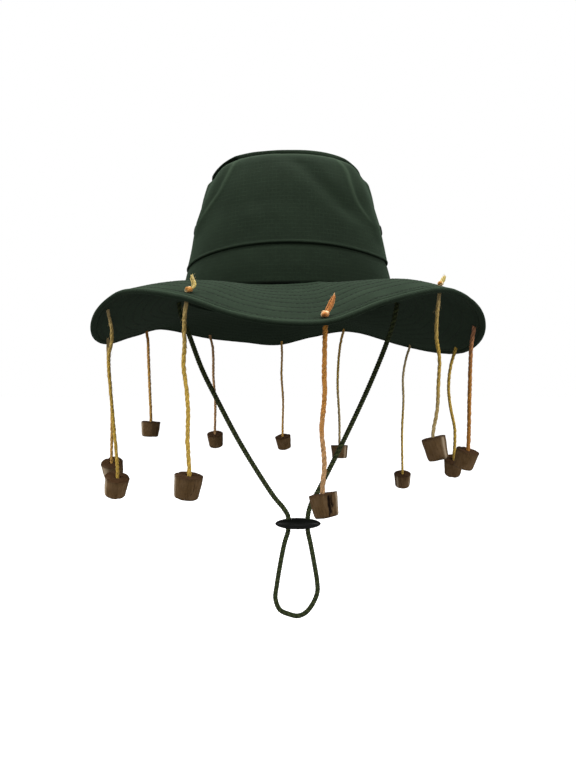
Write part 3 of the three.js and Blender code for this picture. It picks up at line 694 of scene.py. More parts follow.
class Finish:
    """A material and the nodes that feed its shader."""

    def __init__(self, name, colour, roughness, **sockets):
        self.material = bpy.data.materials.new(name)
        self.material.use_nodes = True
        self.tree = self.material.node_tree
        self.shader = self.tree.nodes["Principled BSDF"]
        self.shader.inputs["Base Color"].default_value = (*colour, 1)
        self.shader.inputs["Roughness"].default_value = roughness
        for socket, value in sockets.items():
            self.shader.inputs[SHADER_SOCKETS[socket]].default_value = value

    def node(self, kind, inputs=None, **settings):
        made = self.tree.nodes.new(kind)
        for name, value in settings.items():
            setattr(made, name, value)
        for key, value in (inputs or {}).items():
            self.feed(made.inputs[key], value)
        return made

    def feed(self, socket, value):
        if isinstance(value, bpy.types.NodeSocket):
            self.tree.links.new(value, socket)
        else:
            socket.default_value = value

    def math(self, operation, *values):
        return self.node("ShaderNodeMath", dict(enumerate(values)), operation=operation).outputs[0]

    def ramp(self, value, stops):
        """A soft colour ramp. stops are pairs of position and colour or grey level."""
        made = self.node("ShaderNodeValToRGB", {"Fac": value})
        made.color_ramp.interpolation = "EASE"
        elements = made.color_ramp.elements
        while len(elements) < len(stops):
            elements.new(0.5)
        for element, (position, colour) in zip(elements, stops):
            element.position = position
            element.color = (*colour, 1) if isinstance(colour, tuple) else (colour, colour, colour, 1)
        return made.outputs["Color"]

    def noise(self, place, scale, detail=3.0, roughness=0.55, distortion=0.0):
        inputs = {"Vector": place, "Scale": scale, "Detail": detail, "Roughness": roughness,
                  "Distortion": distortion}
        return self.node("ShaderNodeTexNoise", inputs).outputs["Fac"]

    def mix(self, factor, first, second, blend="MIX"):
        made = self.node("ShaderNodeMix", data_type="RGBA", blend_type=blend)
        self.feed(made.inputs["Factor"], factor)
        self.feed(made.inputs["A"], (*first, 1) if isinstance(first, tuple) else first)
        self.feed(made.inputs["B"], (*second, 1) if isinstance(second, tuple) else second)
        return made.outputs["Result"]

    def multiplied(self, tone, shade):
        return self.mix(1.0, tone, shade, "MULTIPLY")

    def covered(self, tone, mask, share, colour):
        """A tone with a colour laid over it where the mask is, as strong as the share."""
        return self.mix(self.math("MULTIPLY", mask, share), tone, colour)

    def attribute(self, name, output="Fac"):
        return self.node("ShaderNodeAttribute", attribute_name=name).outputs[output]

    def mapped(self, place, scale, turn=0.0):
        inputs = {"Vector": place, "Scale": scale, "Rotation": (0, 0, turn)}
        return self.node("ShaderNodeMapping", inputs).outputs["Vector"]

    def uv(self, scale=(1, 1, 1), turn=0.0):
        """The piece's own UV map, scaled and turned."""
        return self.mapped(self.node("ShaderNodeUVMap").outputs["UV"], scale, turn)

    def place(self):
        """The place on the piece itself."""
        return self.node("ShaderNodeTexCoord").outputs["Object"]

    def across_and_along(self, place):
        split = self.node("ShaderNodeSeparateXYZ", {"Vector": place})
        return split.outputs["X"], split.outputs["Y"]

    def colour(self, socket):
        self.feed(self.shader.inputs["Base Color"], socket)

    def rough(self, socket):
        self.feed(self.shader.inputs["Roughness"], socket)

    def bump(self, height, distance, strength=1.0):
        """Relief of a height from 0 to 1 over a distance in metres, on top of what is there."""
        inputs = {"Height": height, "Distance": distance, "Strength": strength}
        made = self.node("ShaderNodeBump", inputs)
        normal = self.shader.inputs["Normal"]
        if normal.is_linked:
            self.feed(made.inputs["Normal"], normal.links[0].from_socket)
        self.feed(normal, made.outputs["Normal"])


def grid_threads(finish, axis):
    """The grid's thicker threads, from 0 between them to 1 on their middles."""
    nearest = finish.math("PINGPONG", axis, RIPSTOP_GRID / 2)
    inputs = {"Value": nearest, "From Min": 0.0, "From Max": GRID_THREAD, "To Min": 1.0, "To Max": 0.0}
    return finish.node("ShaderNodeMapRange", inputs, interpolation_type="SMOOTHSTEP").outputs["Result"]


def ripstop(name, colours):
    """Plain woven cotton with a raised grid of thicker threads, on the cloth's own flat coordinates."""
    colour = colours["fresh"]
    finish = Finish(name, colour, 0.9, sheen=0.08, sheen_roughness=0.45, specular=0.08)
    finish.shader.inputs["Sheen Tint"].default_value = CLOTH_SHEEN
    flat = finish.uv()
    across, along = finish.across_and_along(flat)
    patchy = finish.ramp(finish.noise(flat, 150.0, detail=4.0), [(0.36, 0.1), (0.64, 1.0)])
    level = grid_threads(finish, along)
    upright = finish.math("MULTIPLY", grid_threads(finish, across), 0.6)
    lines = finish.math("MULTIPLY", finish.math("MAXIMUM", level, upright), patchy)
    weft, warp = (finish.math("SINE", finish.math("MULTIPLY", axis, math.tau / WEAVE_PITCH))
                  for axis in (across, along))
    weave = finish.math("MULTIPLY_ADD", finish.math("MULTIPLY", weft, warp), 0.5, 0.5)
    slubs = finish.math("MULTIPLY", finish.noise(finish.uv(scale=(300, 2600, 1)), 1.0, detail=2.0), 0.55)
    slubs_up = finish.math("MULTIPLY", finish.noise(finish.uv(scale=(2600, 300, 1)), 1.0, detail=2.0), 0.45)
    threads = finish.math("ADD", slubs, slubs_up)
    mottle = finish.noise(flat, 34.0, detail=4.0)
    tone = finish.ramp(mottle, [(0.3, scaled(colour, 0.88)), (0.7, scaled(colour, 1.12))])
    tone = finish.mix(finish.ramp(threads, [(0.42, 0.0), (0.62, 0.5)]), tone, scaled(colour, 1.55))
    tone = finish.covered(tone, lines, 0.5, scaled(colour, 1.9))
    # per-point attribute: above 0 paler, for wear and painted highlights; below 0 darker, painted shade
    worn = finish.math("MULTIPLY", finish.attribute("worn"), finish.ramp(mottle, [(0.25, 0.6), (0.7, 1.0)]))
    tone = finish.mix(worn, tone, colours["worn"])
    shade = finish.math("MULTIPLY_ADD", worn, 0.55, 1.0)
    finish.colour(finish.multiplied(tone, finish.math("MINIMUM", shade, 1.0)))
    finish.rough(finish.ramp(threads, [(0.3, 0.84), (0.7, 0.95)]))
    finish.bump(weave, 0.05 * MM, strength=0.5)
    finish.bump(lines, 0.05 * MM, strength=0.5)
    finish.bump(threads, 0.08 * MM, strength=0.6)
    return finish.material


def yarn(name, colours):
    """Loosely spun yarn whose dye changes from its top to its foot."""
    top, middle, foot = (YARN_COLOURS[colour] for colour in colours)
    finish = Finish(name, middle, 0.85, sheen=0.15, sheen_roughness=0.6, specular=0.15)
    _, along = finish.across_and_along(finish.uv())
    patch = finish.noise(finish.uv(scale=(0.4, 60, 1)), 1.0, detail=3.0)
    wander = finish.math("MULTIPLY_ADD", patch, 0.5, finish.math("DIVIDE", along, DYE_LENGTH))
    tone = finish.ramp(finish.math("SUBTRACT", wander, 0.15), [(0.1, top), (0.5, middle), (0.92, foot)])
    spun(finish, tone, 0.92)
    return finish.material


def spun(finish, tone, darkest_ply):
    """Fibres, plies and fuzz over a yarn's own colour."""
    fibres = finish.noise(finish.uv(scale=(5, 900, 1), turn=0.5), 1.0, detail=4.0, roughness=0.7)
    tone = finish.multiplied(tone, finish.ramp(fibres, [(0.28, 0.6), (0.6, 1.05)]))
    ply = finish.ramp(finish.attribute("tint"), [(0.0, darkest_ply), (1.0, 1.06)])
    finish.colour(finish.multiplied(tone, ply))
    finish.bump(fibres, 0.14 * MM, strength=0.8)


def knot_finish(name, colours):
    """A mottled knot at tint 0, and the strands of its tail from dark to pale above it."""
    knot_colour, tail_colour = (YARN_COLOURS[colour] for colour in colours)
    finish = Finish(name, tail_colour, 0.85, sheen=0.15, sheen_roughness=0.6, specular=0.15)
    pale = tuple(0.4 * level + 0.6 * cream for level, cream in zip(tail_colour, YARN_COLOURS["cream"]))
    # the locks of lowest tint are drawn darker, painted shade among the tail's strands
    tail_stops = [(0.3, scaled(tail_colour, 0.4)), (0.44, tail_colour), (0.72, tail_colour), (0.9, pale)]
    tail_tone = finish.ramp(finish.attribute("tint"), tail_stops)
    blotch = finish.noise(finish.uv(scale=(1, 260, 1)), 1.0, detail=2.0)
    knot_stops = [(0.34, scaled(knot_colour, 0.7)), (0.46, knot_colour), (0.57, YARN_COLOURS["cream"])]
    knot_tone = finish.ramp(blotch, knot_stops)
    in_tail = finish.ramp(finish.attribute("tint"), [(0.1, 0.0), (0.2, 1.0)])
    spun(finish, finish.mix(in_tail, knot_tone, tail_tone), 1.0)
    return finish.material


def braid_finish():
    """Dark olive braid with paler flecks."""
    finish = Finish("olive_braid", BRAID_COLOURS["plain"], 0.75, sheen=0.08, specular=0.15)
    fibres = finish.noise(finish.uv(scale=(4, 1400, 1)), 1.0, detail=3.0, roughness=0.6)
    fleck_stops = [(0.2, BRAID_COLOURS["dark"]), (0.8, BRAID_COLOURS["fleck"])]
    fleck = finish.ramp(finish.attribute("tint"), fleck_stops)
    finish.colour(finish.multiplied(fleck, finish.ramp(fibres, [(0.25, 0.6), (0.7, 1.15)])))
    finish.bump(fibres, 0.1 * MM, strength=0.7)
    return finish.material


def cork_finish():
    """Walnut-stained cork: upright grain, painted shade in its splits, small pits, painted sheen stripes."""
    tones = CORK_COLOURS
    finish = Finish("stained_cork", tones["plain"], 0.85, sheen=0.02, sheen_roughness=0.4, specular=0.08)
    grain = finish.attribute("grain", "Vector")
    upright, cracked = finish.mapped(grain, (900, 900, 130)), finish.mapped(grain, (260, 260, 60))
    streaks = finish.noise(upright, 1.0, detail=5.0, roughness=0.65, distortion=0.5)
    cloudy = finish.noise(grain, 170.0, detail=3.0)
    cracking = finish.noise(cracked, 1.0, detail=4.0, roughness=0.5, distortion=1.2)
    cracks = finish.ramp(cracking, [(0.24, 1.0), (0.29, 0.0)])
    pitting = finish.node("ShaderNodeTexVoronoi", {"Vector": grain, "Scale": 800.0}).outputs["Distance"]
    pits = finish.ramp(pitting, [(0.08, 1.0), (0.24, 0.0)])
    grain_stops = [(0.3, tones["dark grain"]), (0.5, tones["grain"]), (0.7, tones["pale grain"])]
    tone = finish.ramp(streaks, grain_stops)
    tone = finish.mix(finish.ramp(cloudy, [(0.35, 0.0), (0.72, 0.55)]), tone, tones["cloud"])
    # pale stripes of painted sheen near the cork's edges
    tone = finish.covered(tone, finish.attribute("rub"), 0.85, tones["rub"])
    tone = finish.covered(tone, finish.attribute("rim"), 0.75, tones["rim"])
    tone = finish.covered(tone, pits, 0.5, tones["pit"])
    tone = finish.covered(tone, cracks, 0.7, tones["crack"])
    tone = finish.covered(tone, finish.attribute("end"), 0.88, tones["end"])
    # near black in the splits: painted shade in the cuts
    tone = finish.mix(finish.attribute("split"), tone, tones["split"])
    # each cork's paleness: its stain, and painted light on the corks in the brim's shade
    finish.colour(finish.multiplied(tone, finish.attribute("stain")))
    finish.rough(finish.ramp(streaks, [(0.3, 0.92), (0.7, 0.75)]))
    finish.bump(streaks, 0.22 * MM, strength=0.8)
    finish.bump(finish.math("SUBTRACT", 1.0, cracks), 0.4 * MM, strength=0.8)
    finish.bump(finish.math("SUBTRACT", 1.0, pits), 0.22 * MM, strength=0.8)
    return finish.material


def toggle_finish():
    """Black moulded plastic with a fine grained skin."""
    finish = Finish("black_toggle", TOGGLE_BLACK, 0.5, specular=0.18)
    finish.rough(finish.ramp(finish.noise(finish.place(), 120.0), [(0.3, 0.42), (0.7, 0.58)]))
    finish.bump(finish.noise(finish.place(), 2600.0), 0.03 * MM, strength=0.6)
    return finish.material


def eyelet_finish():
    """Blackened metal, rubbed on its rim."""
    finish = Finish("dark_metal", METAL_COLOURS["plain"], 0.4, metallic=0.8)
    rubbed = finish.noise(finish.place(), 700.0, detail=4.0)
    finish.colour(finish.ramp(rubbed, [(0.4, METAL_COLOURS["dark"]), (0.75, METAL_COLOURS["rubbed"])]))
    finish.rough(finish.ramp(rubbed, [(0.3, 0.32), (0.7, 0.55)]))
    return finish.material


def thread_finish():
    """Sewing thread of the cloth's own green."""
    finish = Finish("sewing_thread", THREAD_COLOURS["plain"], 0.75, sheen=0.05, specular=0.15)
    finish.bump(finish.noise(finish.place(), 5200.0, detail=2.0), 0.05 * MM, strength=0.5)
    patchy = finish.noise(finish.place(), 240.0, detail=2.0)
    finish.colour(finish.ramp(patchy, [(0.3, THREAD_COLOURS["dark"]), (0.7, THREAD_COLOURS["pale"])]))
    return finish.material


# Camera

def make_camera():
    data = bpy.data.cameras.new("camera")
    data.lens = CAMERA_LENS
    data.sensor_width = CAMERA_SENSOR
    camera = bpy.data.objects.new("camera", data)
    camera.location = CAMERA_PLACE
    camera.rotation_euler = (math.radians(90), 0, 0)
    bpy.context.scene.collection.objects.link(camera)
    bpy.context.scene.camera = camera


# Strings, their knots and corks

def string_hole(azimuth):
    return brim_top(azimuth, STRING_HOLE)


def cork_axis(lean, nod):
    """Down a hanging cork: lean turns its foot to +X, nod turns its top to the front."""
    lean, nod = math.radians(lean), math.radians(nod)
    return Vector((math.sin(lean) * math.cos(nod), math.sin(nod), -math.cos(lean) * math.cos(nod)))


def route_below(azimuth, route):
    """The string's chosen points below its hole; the last is the cork's mouth."""
    return [string_hole(azimuth) + Vector((x, y, -drop)) * MM for x, y, drop in route]


def string_path(azimuth, facts, route):
    """The yarn's middle line, from inside the knot down through the hole and into the cork."""
    below = route_below(azimuth, route)
    points = [string_hole(azimuth) - Vector((0, 0, drop)) for drop in (-STRING_IN_KNOT, *STRING_LEADS)]
    foot = below[-1] + cork_axis(*facts[:2]) * STRING_IN_CORK
    return smooth_route([*points, *below, foot], STRING_STEP)


def twisted_yarn(name, path, diameter, seed):
    """Three plies twisted round a path, with a few loose fibres standing off."""
    chance = random.Random(seed)
    frames, lengths = carried_frames(path), lengths_along(path)
    strands = Strands()
    for ply in range(YARN_PLIES):
        middle, widths = [], []
        for point, (side, second), length in zip(path, frames, lengths):
            slack = noise_at(length / (14 * MM), seed, 4)
            angle = 2 * math.pi * (length / YARN_PITCH + ply / YARN_PLIES + 0.5 * slack)
            offset = diameter * (0.155 + 0.05 * noise_at(length / (6 * MM), ply * 3.1, seed))
            kink = noise_at(length / (5 * MM), seed, 8) * 0.22 * MM
            aside = side * (offset * math.cos(angle) + kink)
            middle.append(point + aside + second * (offset * math.sin(angle)))
            widths.append(diameter * (0.275 + 0.05 * noise_at(length / (2.6 * MM), ply, seed + 9)))
        strands.add(middle, widths, sides=8, tint=ply / (YARN_PLIES - 1))
    for _ in range(LOOSE_FIBRES):
        start = chance.randrange(8, len(path) - 12)
        side, second = frames[start]
        angle = chance.uniform(0, 2 * math.pi)
        out = side * math.cos(angle) + second * math.sin(angle)
        ahead = (path[start + 1] - path[start]).normalized() * chance.choice((-1, 1))
        reach = chance.uniform(0.8, 2.0) * MM
        fibre = [path[start] + out * (diameter * 0.4 + reach * rise) + ahead * reach * run
                 for rise, run in ((0, 0), (0.28, 0.5), (0.45, 1.1), (0.75, 1.6))]
        strands.add(fibre, [0.07 * MM, 0.06 * MM, 0.045 * MM, 0.02 * MM], sides=3, tint=1.0)
    return strands.piece(name)


def knot(name, azimuth, facts, tail, seed):
    """A tied knot on top of the brim with its frayed tail."""
    chance = random.Random(seed)
    share, aside, further, breadth = facts
    length, turn, lean, bend = tail
    top, _, normal = brim_frame(azimuth, STRING_HOLE + further * MM)
    centre = top + Vector((aside * MM, 0, 0)) + normal * (KNOT_DIAMETER / 2 - KNOT_SINK) * share
    strands = Strands()
    size, steps = (KNOT_DIAMETER / 2 - KNOT_YARN) * share, 60
    loop = []
    for index in range(steps + 1):
        t = 2 * math.pi * (index + 0.4) / (steps + 0.8)
        x, y = math.sin(t) + 2 * math.sin(2 * t), math.cos(t) - 2 * math.cos(2 * t)
        loop.append(Vector((x, y, -1.1 * math.sin(3 * t))) * (size / 3))
    spin = Matrix.Rotation(chance.uniform(0, 2 * math.pi), 3, "Z")
    tip_over = normal.to_track_quat("Z", "Y").to_matrix()
    loop = [centre + tip_over @ (spin @ point) for point in loop]
    strands.add(loop, [KNOT_YARN * share] * len(loop), sides=10)
    tilt = math.radians(lean)
    x, y = facing(turn)
    up = Vector((math.sin(tilt) * x, math.sin(tilt) * y, math.cos(tilt)))
    across = up.cross(Vector((0, -1, 0))).normalized()
    through = across.cross(up)
    steps, combed = 14, []
    for lock in range(TAIL_LOCKS):
        spread = (lock / (TAIL_LOCKS - 1) - 0.5) * 2
        depth = chance.uniform(-0.5, 0.5)
        reach = length * MM * chance.uniform(0.88, 1.03) * (1 - 0.16 * abs(spread))
        curl = chance.uniform(-0.6, 0.6)
        middle, widths = [], []
        for index in range(steps + 1):
            t = index / steps
            wide = spread * (0.75 + 0.75 * math.sin(math.pi * min(1, t * 0.85)) - 0.25 * t) + curl * t ** 3
            wide = wide * breadth + bend * math.sin(math.pi * min(1, 1.1 * t) ** 0.8)
            place = centre + up * reach * t + across * wide * MM
            middle.append(place + through * depth * (1 - 0.4 * t) * MM)
            widths.append(0.5 * MM * (1 - 0.72 * max(0, (t - 0.62) / 0.38) ** 1.5))
        strands.add(middle, widths, sides=6, tint=chance.uniform(0.28, 1))
        combed += middle[6:-1]
    for _ in range(LOOSE_HAIRS):
        start = chance.choice(combed)
        drift = across * chance.uniform(-1, 1) + through * chance.uniform(-1, 1)
        drift += up * chance.uniform(0.6, 1.6)
        hair = [start + drift * step * MM for step in (0, 0.5, 1.0, 1.5)]
        strands.add(hair, [0.08 * MM, 0.07 * MM, 0.05 * MM, 0.02 * MM], sides=3, tint=1.0)
    return strands.piece(name)


def cork(name, facts, mouth, splits, painted_sheen_stripes, stain_and_light, seed):
    """A tapered cork, cut by hand: uneven rims, a drilled mouth, chips and splits."""
    lean, nod, width, height = facts
    top, bottom, tall = CORK_TOP / 2 * width, CORK_BOTTOM / 2 * width, CORK_HEIGHT * height
    hole, floor = CORK_HOLE / 2, -CORK_HOLE_DEPTH
    profile = [(0.01 * MM, -tall), (bottom * 0.35, -tall), (bottom * 0.68, -tall),
               (bottom - 1.5 * MM, -tall), (bottom - 0.75 * MM, -tall + 0.14 * MM),
               (bottom - 0.25 * MM, -tall + 0.5 * MM), (bottom, -tall + 1.1 * MM)]
    steps = 16
    for step in range(2, steps):
        share = step / steps
        profile.append((bottom + (top - bottom) * share, -tall * (1 - share)))
    profile += [(top, -0.5 * MM), (top - 0.25 * MM, -0.12 * MM), (top - 0.9 * MM, 0), (top * 0.65, 0),
                (hole + 0.7 * MM, 0), (hole + 0.15 * MM, -0.15 * MM), (hole, -0.6 * MM), (hole, floor),
                (0.01 * MM, floor)]
    piece = turned(name, profile, CORK_SIDES)
    mesh = piece.data
    names = ("grain", "rim", "rub", "split", "end", "stain")
    for layer in names:
        mesh.attributes.new(layer, "FLOAT_VECTOR" if layer == "grain" else "FLOAT", "POINT")
    grain, rim, rub, split, end_grain, stain = (mesh.attributes[layer].data for layer in names)
    shift = Vector((seed * 0.37, seed * 0.91, seed * 0.13))
    for index, vertex in enumerate(mesh.vertices):
        place = vertex.co.copy()
        grain[index].vector = place + shift
        stain[index].value = stain_and_light
        out = Vector((place.x, place.y, 0))
        in_hole = out.length < hole + 0.4 * MM and place.z > -tall + 1 * MM
        azimuth = math.degrees(math.atan2(place.x, -place.y))
        down = -place.z / tall
        on_side = out.length > bottom * 0.8
        near_top = bell(place.z, 1.1 * MM) if out.length > hole + 1 * MM else 0.9
        near_foot = bell(place.z + tall, 0.9 * MM) if on_side else 0.3
        near_rim = bell(out.length - top, 0.9 * MM)
        # darker along the top and foot edges; inside the drilled mouth drawn dark, a painted shade
        rim[index].value = 1.0 if in_hole else max(near_top * near_rim * 0.9, near_foot * 0.7)
        end_grain[index].value = 1.0 if place.z > -0.2 * MM else 0.0
        if in_hole:
            continue
        if on_side:
            # stripes of painted sheen down the side
            rub[index].value = max([near_azimuth(azimuth, *stripe) for stripe in painted_sheen_stripes], default=0)
        coarse = noise.noise((place + shift) * 190)
        fine = noise.noise((place + shift) * 700)
        bite = max(0, noise.noise((place + shift * 2) * 330) - 0.3)
        edge = max(near_top, near_foot) if on_side else 0
        pull = 0.3 * MM * coarse + 0.1 * MM * fine - 2.2 * MM * bite * edge
        for middle, wide, start, end in splits:
            wander = middle + 6 * noise_at(down * 2.5, middle, seed)
            away = turn_between(azimuth, wander) * math.radians(1) * out.length
            inside = max(0, 1 - (away / (wide * MM)) ** 2)
            open_here = inside * held(min(down - start, end - down) / SPLIT_TAPER)
            if on_side and open_here > 0:
                pull -= SPLIT_DEPTH * open_here
                split[index].value = max(split[index].value, min(1, 1.6 * open_here))
        vertex.co += out.normalized() * pull if out.length > 1 * MM else Vector()
        chipped = 1.0 * MM * bite * edge * (1 if place.z > -tall / 2 else -1)
        vertex.co.z += (0.25 * coarse + 0.1 * fine) * MM - chipped
    smooth_shade(piece, angle=42)
    hang = (-cork_axis(lean, nod)).to_track_quat("Z", "Y").to_matrix()
    # the track keeps no fixed turn about the axis, so the cork's own front is set to face -Y
    front = hang.inverted() @ Vector((0, -1, 0))
    spin = Matrix.Rotation(math.atan2(front.x, -front.y), 3, "Z")
    mesh.transform(Matrix.Translation(mouth) @ (hang @ spin).to_4x4())
    return piece


def make_strings():
    walnut = cork_finish()
    for number, (name, azimuth, facts, tail, colours, knot_colours, route) in enumerate(STRINGS):
        slot = "orange_yarn" if name in ORANGE_STRINGS else "yellow_yarn"
        path = string_path(azimuth, facts, route)
        diameter = STRING_DIAMETER * STRING_WEIGHTS.get(name, 1)
        line = twisted_yarn(f"yarn_string_{name}", path, diameter, number + 1)
        finish_piece(line, yarn(f"yarn_{name}", colours), slot, f"string_{name}")
        tied = knot(f"tied_knot_{name}", azimuth, KNOTS.get(name, PLAIN_KNOT), tail, number + 40)
        finish_piece(tied, knot_finish(f"knot_yarn_{name}", knot_colours), slot, f"knot_{name}")
        bob = cork(f"carved_cork_{name}", facts, route_below(azimuth, route)[-1], CORK_SPLITS.get(name, []),
                   CORK_PAINTED_SHEEN.get(name, []), CORK_STAIN_AND_LIGHT.get(name, PLAIN_STAIN_AND_LIGHT), number + 1)
        finish_piece(bob, walnut, "cork", f"cork_{name}")
        tuple(path[0])
        lengths_along(path)[-1]
        [tuple(point) for point in path[::6] + [path[-1]]]


# Chin cord and toggle

def make_chin_cord():
    path = smooth_route([Vector(point) * MM for point in CHIN_CORD_ROUTE], CORD_STEP)
    frames, lengths = carried_frames(path), lengths_along(path)
    strands = Strands()
    for way, tints in ((1, (0.15, 0.85, 0.3, 0.5)), (-1, (0.6, 0.1, 0.75, 0.25))):
        for strand in range(BRAID_STRANDS):
            line, sides = [], []
            for point, (side, second), length in zip(path, frames, lengths):
                turn = 2 * math.pi * length / BRAID_PITCH
                angle = 2 * math.pi * strand / BRAID_STRANDS + way * turn
                out = side * math.cos(angle) + second * math.sin(angle)
                radius = BRAID_RADIUS + way * BRAID_WAVE * math.cos(BRAID_STRANDS * turn)
                line.append(point + out * radius)
                sides.append(out)
            braided = []
            for index, out in enumerate(sides):
                ahead = (line[min(index + 1, len(line) - 1)] - line[max(index - 1, 0)]).normalized()
                out = (out - ahead * out.dot(ahead)).normalized()
                braided.append((out, ahead.cross(out)))
            thick, broad = [STRAND_THICKNESS] * len(line), [STRAND_BREADTH] * len(line)
            strands.add(line, thick, sides=6, tint=tints[strand], frames=braided, heights=broad)
    core = path[::5] + [path[-1]]
    strands.add(core, [BRAID_CORE] * len(core), sides=6)
    cord = strands.piece("braided_chin_cord")
    finish_piece(cord, braid_finish(), "braided_cord", "chin_cord")
    toggle = make_toggle()
    tuple(path[0])
    [tuple(point) for point in path[::10] + [path[-1]]]


def make_toggle():
    """A smooth oval bead with two holes and the faint line where its mould closed."""
    deselect()
    bpy.ops.mesh.primitive_uv_sphere_add(segments=96, ring_count=48, radius=1)
    toggle = bpy.context.object
    toggle.name = "moulded_toggle"
    edit_all()
    bpy.ops.transform.resize(value=(TOGGLE_LENGTH / 2, TOGGLE_DEPTH / 2, TOGGLE_HEIGHT / 2))
    bpy.ops.object.mode_set(mode="OBJECT")
    for vertex in toggle.data.vertices:
        if abs(vertex.co.z) < 0.01 * MM:
            vertex.co.x *= MOULD_LINE[0]
            vertex.co.y *= MOULD_LINE[1]
    for side in (-1, 1):
        deselect()
        bpy.ops.mesh.primitive_cylinder_add(vertices=48, radius=TOGGLE_HOLE / 2, depth=TOGGLE_HEIGHT * 2,
                                            location=(side * TOGGLE_HOLE_SPACING / 2, 0, 0))
        drill = bpy.context.object
        apply_modifier(toggle, "BOOLEAN", object=drill, operation="DIFFERENCE", solver="EXACT")
        bpy.data.objects.remove(drill)
    apply_modifier(toggle, "BEVEL", width=TOGGLE_EDGE, segments=3, limit_method="ANGLE",
                   angle_limit=math.radians(50))
    smooth_shade(toggle, angle=40)
    toggle.data.transform(Matrix.Translation(TOGGLE_PLACE))
    return finish_piece(toggle, toggle_finish(), "black_plastic", "toggle")


# Crown

def crown_lengths(azimuth, z):
    """Place on the flat cloth: length round the crown from the front, and height."""
    width, _ = smooth_between(CROWN_SECTIONS, z / CROWN_HEIGHT)
    return math.radians(azimuth) * (HEAD_WIDTH + HEAD_LENGTH) / 4 * width, z


def back_seam(azimuth):
    """Depth of the seam down the middle of the back, 0 away from it."""
    away = 180 - abs(azimuth)
    return bell(away, 0.8) - 0.6 * bell(away - 2, 0.9)


def wall_share(row, rows):
    """Height of a row of the crown's wall, with close rows at the tuck and at the top seam."""
    t = row / rows
    tuck_rows, seam_rows, edge = 0.16, 0.14, 0.045
    if t < tuck_rows:
        return edge * t / tuck_rows
    if t > 1 - seam_rows:
        return 1 - edge * (1 - t) / seam_rows
    return edge + (1 - 2 * edge) * (t - tuck_rows) / (1 - tuck_rows - seam_rows)


def make_crown_side(cloth):
    """A tapering wall whose foot is tucked over the band and whose top is turned in under the tip."""
    outer, inner = 80, 12
    turned_in = ((0.5, 7.5), (1.7, 8.0), (2.6, 2.0))

    def place(azimuth, row):
        foot, top = tuck_height(azimuth), crown_top(azimuth)
        on_face, step = row <= outer, row - outer
        if on_face:
            z = foot + (top - foot) * wall_share(row, outer)
        elif step <= len(turned_in):
            z = top - turned_in[step - 1][0] * MM
        else:
            z = foot + (top - 3.2 * MM - foot) * (inner - step) / (inner - len(turned_in))
        above, below = (z - foot) / MM, (top - z) / MM
        if on_face:
            curl = math.sqrt(max(0, 1 - (1 - min(1, above / 1.1)) ** 2))
            shoulder = 1 - math.sqrt(max(0, 1 - (1 - min(1, below / 2.2)) ** 2))
            lip = TUCK_BULGE * curl * (1 - held((above - 1.2) / 1.3))
            inset = 0.5 * CROWN_WALL * (1 - curl) + 1.5 * MM * shoulder - lip
        elif step <= len(turned_in):
            inset = turned_in[step - 1][1] * MM
        else:
            inset = CROWN_WALL * (1 if step < inner else 0.75)
        height = z / CROWN_HEIGHT
        soft = 0.6 * ripple(azimuth, z, 2.3, 3) + 0.24 * ripple(azimuth, z, 6.5, 8)
        pucker = 0.14 * ripple(azimuth * 9, z * 0.2, 9, 5) * bell(below, 4)
        crease = crease_at(azimuth, height)
        inset -= (soft * (1 - bell(above, 6)) + pucker - 0.35 * back_seam(azimuth) + 0.5 * crease) * MM
        # paler on creases with wear, darker towards the tuck, and a thin painted highlight along the tuck's
        # fold edge
        worn = crease - 0.25 * bell(above, 14) + 0.22 * bell(above - 0.9, 0.8)
        # a paler band just under the wall's top edge
        worn += 0.6 * bell(below - 1.5, 1.2)
        # ridges paler with wear
        worn += 0.14 * max(0, fold_push(azimuth, height) / (0.02 * HEAD_WIDTH / 2))
        return crown_face(azimuth, z, inset), crown_lengths(azimuth, z), min(1, worn) if on_face else 0.0

    side = wrapped("crown_cloth", CROWN_COLUMNS, outer + inner, place)
    close_rows(side)
    finish_piece(side, cloth, "ripstop_cloth", "crown_side")


def close_rows(piece):
    """Joins the first and last row of a wrapped section, where its two open edges meet."""
    pick(piece)
    bpy.ops.object.mode_set(mode="EDIT")
    bpy.ops.mesh.select_all(action="DESELECT")
    bpy.ops.mesh.select_mode(type="EDGE")
    bpy.ops.mesh.select_non_manifold(extend=False)
    bpy.ops.mesh.bridge_edge_loops()
    bpy.ops.mesh.select_mode(type="VERT")
    bpy.ops.object.mode_set(mode="OBJECT")


def make_band(cloth):
    """The wall that the brim is sewn to, set in under the crown's tuck."""
    outer, inner = 26, 6
    set_in = [(0, 0.1), (0.5, 0.25), (0.78, 0.5), (0.87, 1), (1, 1)]

    def place(azimuth, row):
        share = row / outer if row <= outer else 1 - (row - outer) / inner
        dip = seam_dip(azimuth, 0)
        foot = SEAM_GAP - 0.3 * dip
        at_foot = row in (0, outer + inner)
        # painted shade: the band is drawn darker all round, most towards its front corner on +X, less on -X
        band_painted_shade = -0.15 - 0.4 * near_azimuth(azimuth, 55, 35) - 0.12 * near_azimuth(azimuth, -55, 30)
        if row == outer + inner:
            foot -= BAND_HEM + 0.95 * dip
        z = foot + (band_top(azimuth) - foot) * share
        inset = smooth_between(set_in, share)[0] * (CROWN_WALL + SEAM_GAP)
        if row > outer:
            inset += BAND_WALL
        soft = 0.4 * ripple(azimuth, z, 2.6, 17) + 0.2 * ripple(azimuth, z, 9, 21)
        middle = math.sin(math.pi * held(share))
        point = crown_face(azimuth, max(0, z), inset - (soft * middle - 0.3 * back_seam(azimuth)) * MM)
        point.z = z
        # at its foot in the front sag the band is drawn near black, a painted shadow in the gap
        return point, crown_lengths(azimuth, max(0, z)), -1.8 * dip / FRONT_SAG if at_foot else band_painted_shade

    band = wrapped("band_cloth", BAND_COLUMNS, outer + inner, place)
    close_rows(band)
    finish_piece(band, cloth, "ripstop_cloth", "hat_band")


